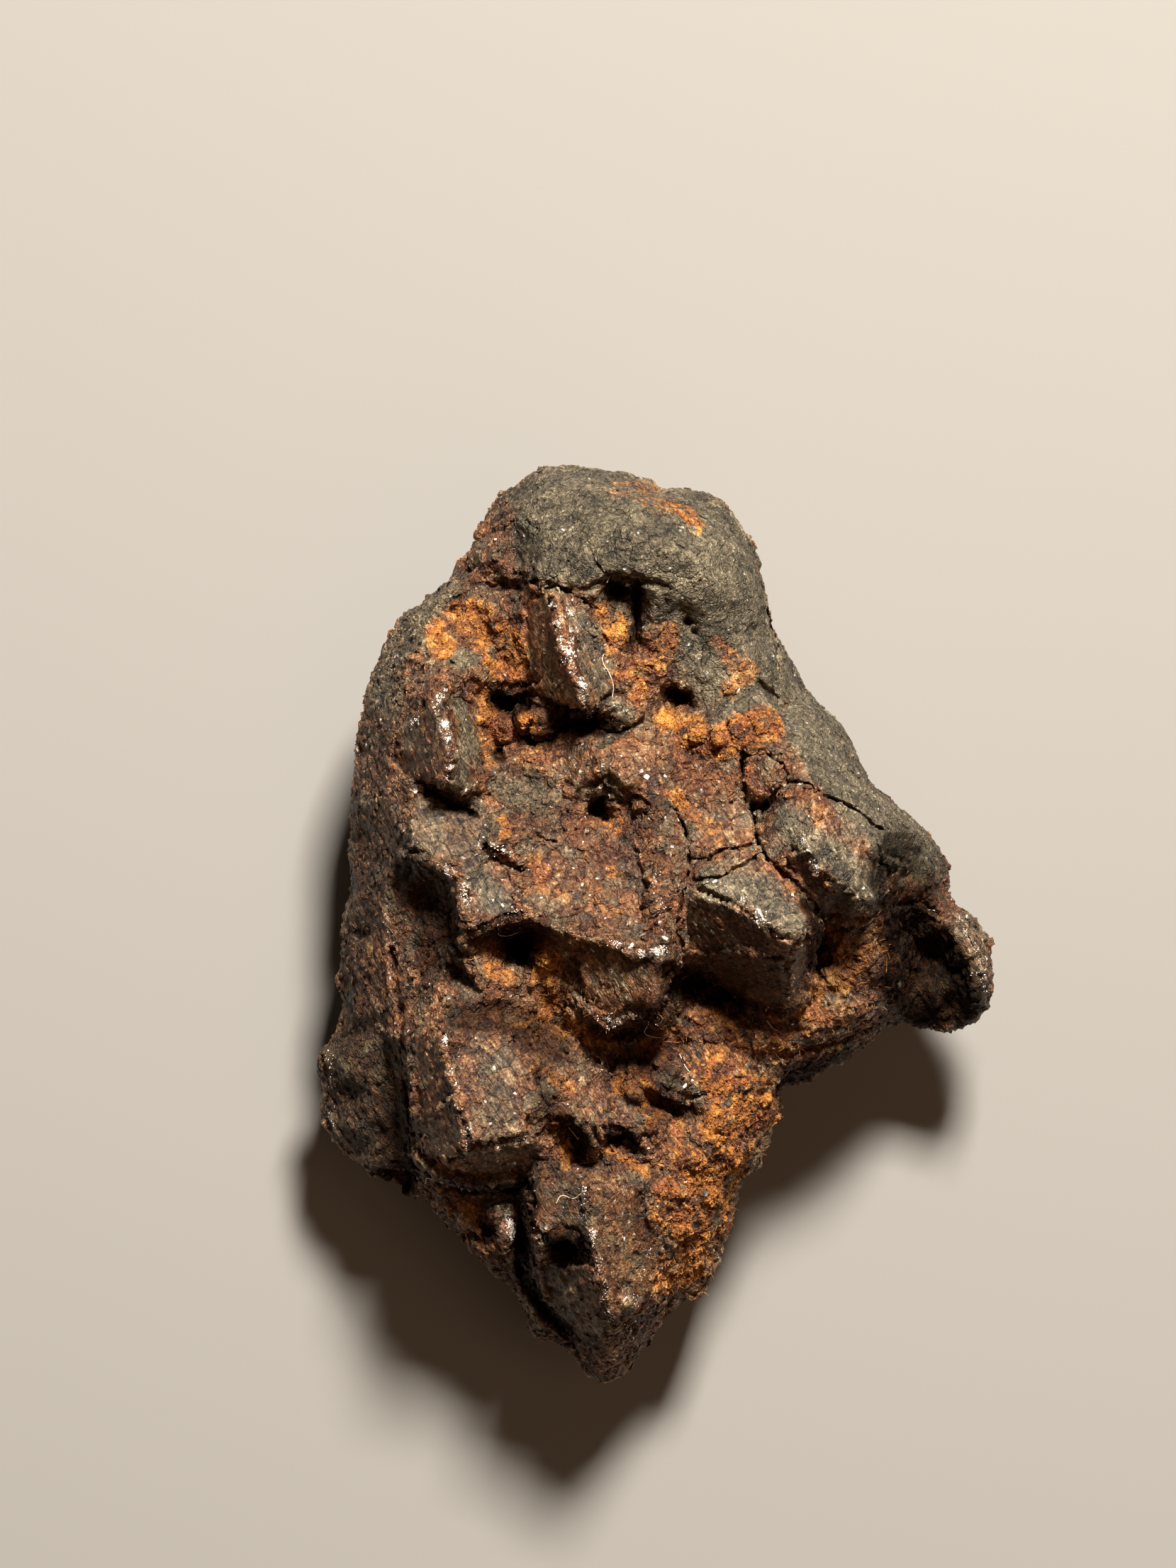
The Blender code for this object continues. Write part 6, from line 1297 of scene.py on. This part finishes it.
def scattered(name, **wanted):
    """Scatters a shape over the stone as the tree's inputs ask, and keeps the plain result."""
    piece = in_scene(name, stone.data)
    scatter = piece.modifiers.new("scatter", "NODES")
    scatter.node_group = scatter_nodes
    for socket in scatter_nodes.interface.items_tree:
        label = socket.name.replace(" ", "_")
        if label in wanted:
            scatter[socket.identifier] = wanted[label]
    piece.data = plain_mesh(piece)
    piece.modifiers.clear()
    piece.data.name = name
    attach(piece, "root")
    print(name, "triangles:", triangles_in(piece.data))


# %% [markdown]
# Three shapes are enough. A crumb is a rough ball of twenty faces, a flake is a thin six-sided
# chip and a hair is a four-sided rod. All are made at a size of one, so that the sizes given to
# the tree are real sizes in metres.

# %% Crumbs and flakes
def small_shape(name, jitter, make, **measures):
    """A shape about one metre across, made rough by moving its corners at random."""
    shape = bmesh.new()
    make(shape, **measures)
    dice = np.random.default_rng(7)
    for corner in shape.verts:
        corner.co *= 1.0 + jitter * dice.uniform(-1.0, 1.0)
    return bpy.data.objects.new(name, finished_mesh(shape, name))


crumb_shape = small_shape("crumb", 0.30, bmesh.ops.create_icosphere, subdivisions=1, radius=0.5)
hair_shape = small_shape(
    "hair", 0.10, bmesh.ops.create_cone,
    cap_ends=True, segments=4, radius1=0.5, radius2=0.15, depth=1.0)
flake_shape = small_shape(
    "flake", 0.25, bmesh.ops.create_cone,
    cap_ends=True, segments=6, radius1=0.5, radius2=0.34, depth=0.30)



def tinted_material(name, size_mm, table, own_share, surface):
    """A material whose colour drifts over the object, and by a share from grain to grain."""
    material, tree = empty_material(name)
    where = add_node(tree, "ShaderNodeTexCoord").outputs["Object"]
    tint = add_node(tree, "ShaderNodeTexNoise", {
        "Vector": where, "Scale": per_metre(size_mm), "Detail": 4.0, "Roughness": 0.6}).outputs["Fac"]
    if own_share:
        own = add_node(tree, "ShaderNodeAttribute", attribute_name="tone").outputs["Fac"]
        tint = sum_of(tree, (own, own_share), (tint, 1.0 - own_share))
    tone = add_node(tree, "ShaderNodeValToRGB", {"Fac": tint}, stops(table))
    end_material(tree, {"Base Color": tone.outputs[0], **surface})
    return material


# rusty hairs are dull and change colour from hair to hair
hair_rust = tinted_material("limonite hairs", 0.6, HAIRS, 0.35, {"Roughness": 0.8})
# the shards are near-white and only half metallic, a painted highlight, so that those that face a dark room
# stay bright
shard_highlight_metal, tree = empty_material("bare nickel iron")
end_material(tree, {"Base Color": colour(BARE_METAL_HIGHLIGHT), "Metallic": 0.5, "Roughness": 0.42})

# crumbly limonite wears the stone's material too: its points bring the rust share with them
scattered(
    "rust_crumbs", Shape=crumb_shape, Material=iron, Where="crumbs", Per_square_mm=54.0,
    Smallest=in_mm(0.05, 0.05, 0.05), Largest=in_mm(0.18, 0.18, 0.14), Tilt=(1.0, 1.0, 3.1), Seed=3)
# bare metal shows as a broken bright line of shards along the worn crests, partly worn metal and partly a
# painted highlight
scattered(
    "metal_shards", Shape=flake_shape, Material=shard_highlight_metal, Where="bare", Per_square_mm=520.0,
    Smallest=in_mm(0.030, 0.035, 0.06), Largest=in_mm(0.075, 0.105, 0.12), Tilt=(0.45, 0.45, 3.1), Seed=8)
# rust also grows as hairs where water stood: stiff, thin, lying every way
scattered(
    "rust_hairs", Shape=hair_shape, Material=hair_rust, Where="hairs", Per_square_mm=12.0,
    Smallest=in_mm(0.016, 0.016, 0.20), Largest=in_mm(0.032, 0.032, 0.75), Tilt=(1.35, 1.35, 3.1), Seed=11)
# flakes of oxide are the stone's own stuff and wear its material, so only their edges show
scattered(
    "oxide_flakes", Shape=flake_shape, Material=iron, Where="flakes", Per_square_mm=5.0,
    Smallest=in_mm(0.16, 0.20, 0.16), Largest=in_mm(0.50, 0.60, 0.40), Tilt=(0.30, 0.30, 3.1), Seed=5)

# %% [markdown]
# The stone was carried in pockets and picked up lint. Each thread is a soft curve, thinner than
# a twentieth of a millimetre. Its points were read off the photograph, seen from above. A ray
# cast straight down finds the height of the stone there, so the thread lies on what is below it.

# %% Threads of lint
THREAD_RADIUS = 0.018       # mm
THREAD_LIFT = 0.05          # mm that the middle of a thread is over the skin
RAY_START = 30.0            # mm over the table, above all of the stone
DOWN = Vector((0.0, 0.0, -1.0))

# points in mm
THREADS = [
    [(-2.1, 11.3), (-2.2, 11.0), (-1.9, 10.4), (-1.75, 9.9), (-1.8, 9.4)],
    [(-6.5, 0.1), (-6.2, -0.4), (-5.8, -0.3), (-5.6, -0.05)],
    [(-4.1, -11.4), (-3.9, -11.1), (-3.4, -11.2), (-3.1, -11.0)],
    [(-2.8, -5.5), (-2.4, -5.4), (-2.2, -5.7)],
    [(-0.3, -3.9), (-0.1, -4.6), (0.3, -4.6)],
    [(11.0, 0.55), (11.5, 0.65), (11.9, 0.5)],
    [(1.0, -5.3), (1.3, -5.9), (1.5, -6.1)],
    [(-3.6, -8.3), (-3.2, -8.8)],
    [(-9.6, -10.8), (-9.1, -10.6), (-8.6, -10.9)],
    [(4.6, -3.9), (5.0, -4.3), (5.6, -4.2)],
]

surface = BVHTree.FromPolygons(
    [vertex.co for vertex in stone.data.vertices], [face.vertices for face in stone.data.polygons])


def skin_below(x, y):
    """Where a ray straight down meets the stone, x and y in mm, and the skin's normal there."""
    return surface.ray_cast(Vector((x, y, RAY_START)) * MM, DOWN)[:2]


lint_curve = bpy.data.curves.new("lint", "CURVE")
lint_curve.dimensions = "3D"
lint_curve.bevel_depth = THREAD_RADIUS * MM
lint_curve.bevel_resolution = 1
lint_curve.resolution_u = 6
lint_curve.use_fill_caps = True
for thread in THREADS:
    spline = lint_curve.splines.new("BEZIER")
    spline.bezier_points.add(len(thread) - 1)
    for point, (x, y) in zip(spline.bezier_points, thread):
        point.co = skin_below(x, y)[0] + Vector((0.0, 0.0, THREAD_LIFT * MM))
        point.handle_left_type = "AUTO"
        point.handle_right_type = "AUTO"
lint_guide = in_scene("lint_guide", lint_curve)
lint_mesh = plain_mesh(lint_guide)
bpy.data.objects.remove(lint_guide)
lint = in_scene("lint", lint_mesh)
# cotton is off-white and has a soft sheen
cotton = tinted_material(
    "cotton lint", 0.3, [(0.35, "#a8977a"), (0.65, "#efe3cc")], 0.0,
    {"Roughness": 0.8, "Sheen Weight": 0.4})
lint_mesh.materials.clear()
lint_mesh.materials.append(cotton)
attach(lint, "root")
print("threads:", len(THREADS), "triangles:", triangles_in(lint_mesh))

# %% [markdown]
# A few loose grains are paler than all the rest: sand that stuck to the stone and two slivers of
# bright metal. They are few enough to be placed one by one, again with a ray for the height.

# %% Pale grains
# (x, y, length, width, direction in degrees) in mm
PALE_GRAINS = [
    (0.7, 3.3, 0.28, 0.22, 20), (-0.4, 6.2, 0.30, 0.24, 70), (-6.65, -5.8, 0.20, 0.14, 60),
    (-1.3, -12.9, 0.16, 0.14, 0), (-1.3, -15.5, 0.50, 0.18, 25), (2.4, 1.9, 0.24, 0.16, 30),
    (1.35, -6.5, 0.60, 0.18, 15), (-1.9, 14.4, 0.60, 0.10, 12), (-1.15, 14.1, 0.36, 0.26, 80),
    (0.35, -0.45, 0.32, 0.26, 40), (-1.05, -0.75, 0.36, 0.28, 10), (0.15, 0.2, 0.24, 0.20, 60),
    (-3.4, 2.4, 0.14, 0.14, 0), (-3.0, 3.5, 0.10, 0.10, 0), (-6.3, 0.9, 0.16, 0.12, 45),
    (4.6, 0.2, 0.20, 0.14, 20), (3.4, 9.7, 0.34, 0.28, 40), (-9.0, 9.5, 0.16, 0.12, 60),
    (6.5, 2.8, 0.18, 0.10, 60), (-7.1, 3.7, 0.10, 0.08, 0),
]

grain_heap = bmesh.new()
for x, y, long, wide, degrees in PALE_GRAINS:
    found, outward = skin_below(x, y)
    lying = outward.to_track_quat("Z", "Y").to_matrix().to_4x4()
    turned = Matrix.Rotation(math.radians(degrees), 4, "Z")
    sized = Matrix.Diagonal((long * MM, wide * MM, 0.5 * wide * MM, 1.0))
    before = len(grain_heap.verts)
    grain_heap.from_mesh(crumb_shape.data)
    grain_heap.verts.ensure_lookup_table()
    placed = Matrix.Translation(found) @ lying @ turned @ sized
    bmesh.ops.transform(grain_heap, matrix=placed, verts=grain_heap.verts[before:])
pale_grains = in_scene("pale_grains", finished_mesh(grain_heap, "pale_grains"))
# quartz and bright metal: nearly white, half glossy, each grain with its own tint
pale_stuff = tinted_material(
    "pale grains", 0.8, [(0.35, "#c9b795"), (0.60, "#f4efe6")], 0.0, {"Roughness": 0.4})
pale_grains.data.materials.append(pale_stuff)
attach(pale_grains, "root")
print("pale grains:", len(PALE_GRAINS))

# %% [markdown]
# Light comes from above the head of the stone, a little from the right, soft enough that the
# shadows under the ledges have no hard line. A weak, warm second light and a dim sky keep the
# dark faces readable. The floor is plain and pale. The Standard view shows colours as they are
# written, where Blender's usual AgX view would wash the rust out.

# %% Floor, light and camera
FLOOR_HALF = 1.5            # metres
WINDOW = ((0.05, 0.19, 0.26), 0.06, 2.9, "#fffaf2")     # place and size in metres, watts, tint
FILL = ((0.12, -0.10, 0.36), 0.25, 0.17, "#ffc9a0")
LIT_SPOT = Vector((0.0, 0.0, 0.008))                    # the middle of the stone
SKY_STRENGTH = 0.05

floor_shape = bmesh.new()
bmesh.ops.create_grid(floor_shape, x_segments=1, y_segments=1, size=FLOOR_HALF)
floor = in_scene("floor", finished_mesh(floor_shape, "floor"))
paper, tree = empty_material("pale paper")
end_material(tree, {"Base Color": colour("#928e88"), "Roughness": 0.9})
floor.data.materials.append(paper)


def soft_light(name, place, size, power, tint):
    """A square light at a place, turned towards the stone."""
    lamp = bpy.data.lights.new(name, "AREA")
    lamp.color = colour(tint)[:3]
    lamp.size = size
    lamp.energy = power
    holder = in_scene(name, lamp)
    holder.location = place
    holder.rotation_euler = (LIT_SPOT - Vector(place)).to_track_quat("-Z", "Y").to_euler()


soft_light("window", *WINDOW)
soft_light("fill", *FILL)
sky = bpy.data.worlds.new("studio")
sky.use_nodes = True
sky_inputs = sky.node_tree.nodes["Background"].inputs
sky_inputs["Color"].default_value = colour("#f2dcc4")
sky_inputs["Strength"].default_value = SKY_STRENGTH
bpy.context.scene.world = sky
bpy.context.scene.view_settings.view_transform = "Standard"
print("lights:", len(bpy.data.lights))

# %% [markdown]
# The photograph was taken from far enough away that the stone shows little perspective. A long
# lens, 45 cm above the stone, gives the same view. The frame is 65.25 mm tall at the stone.

# %% The camera
CAMERA_HEIGHT = 450 * MM
STONE_MIDDLE = 9 * MM
FRAME_TALL = 65.25 * MM
FRAME_CENTRE = (-2.79 * MM, 5.885 * MM)

lens = bpy.data.cameras.new("camera")
lens.sensor_fit = "VERTICAL"
lens.sensor_height = 36.0
lens.lens = lens.sensor_height * CAMERA_HEIGHT / FRAME_TALL
lens.clip_start = 0.01
camera = in_scene("camera", lens)
camera.location = (*FRAME_CENTRE, STONE_MIDDLE + CAMERA_HEIGHT)
bpy.context.scene.camera = camera
print("lens mm:", round(lens.lens, 1))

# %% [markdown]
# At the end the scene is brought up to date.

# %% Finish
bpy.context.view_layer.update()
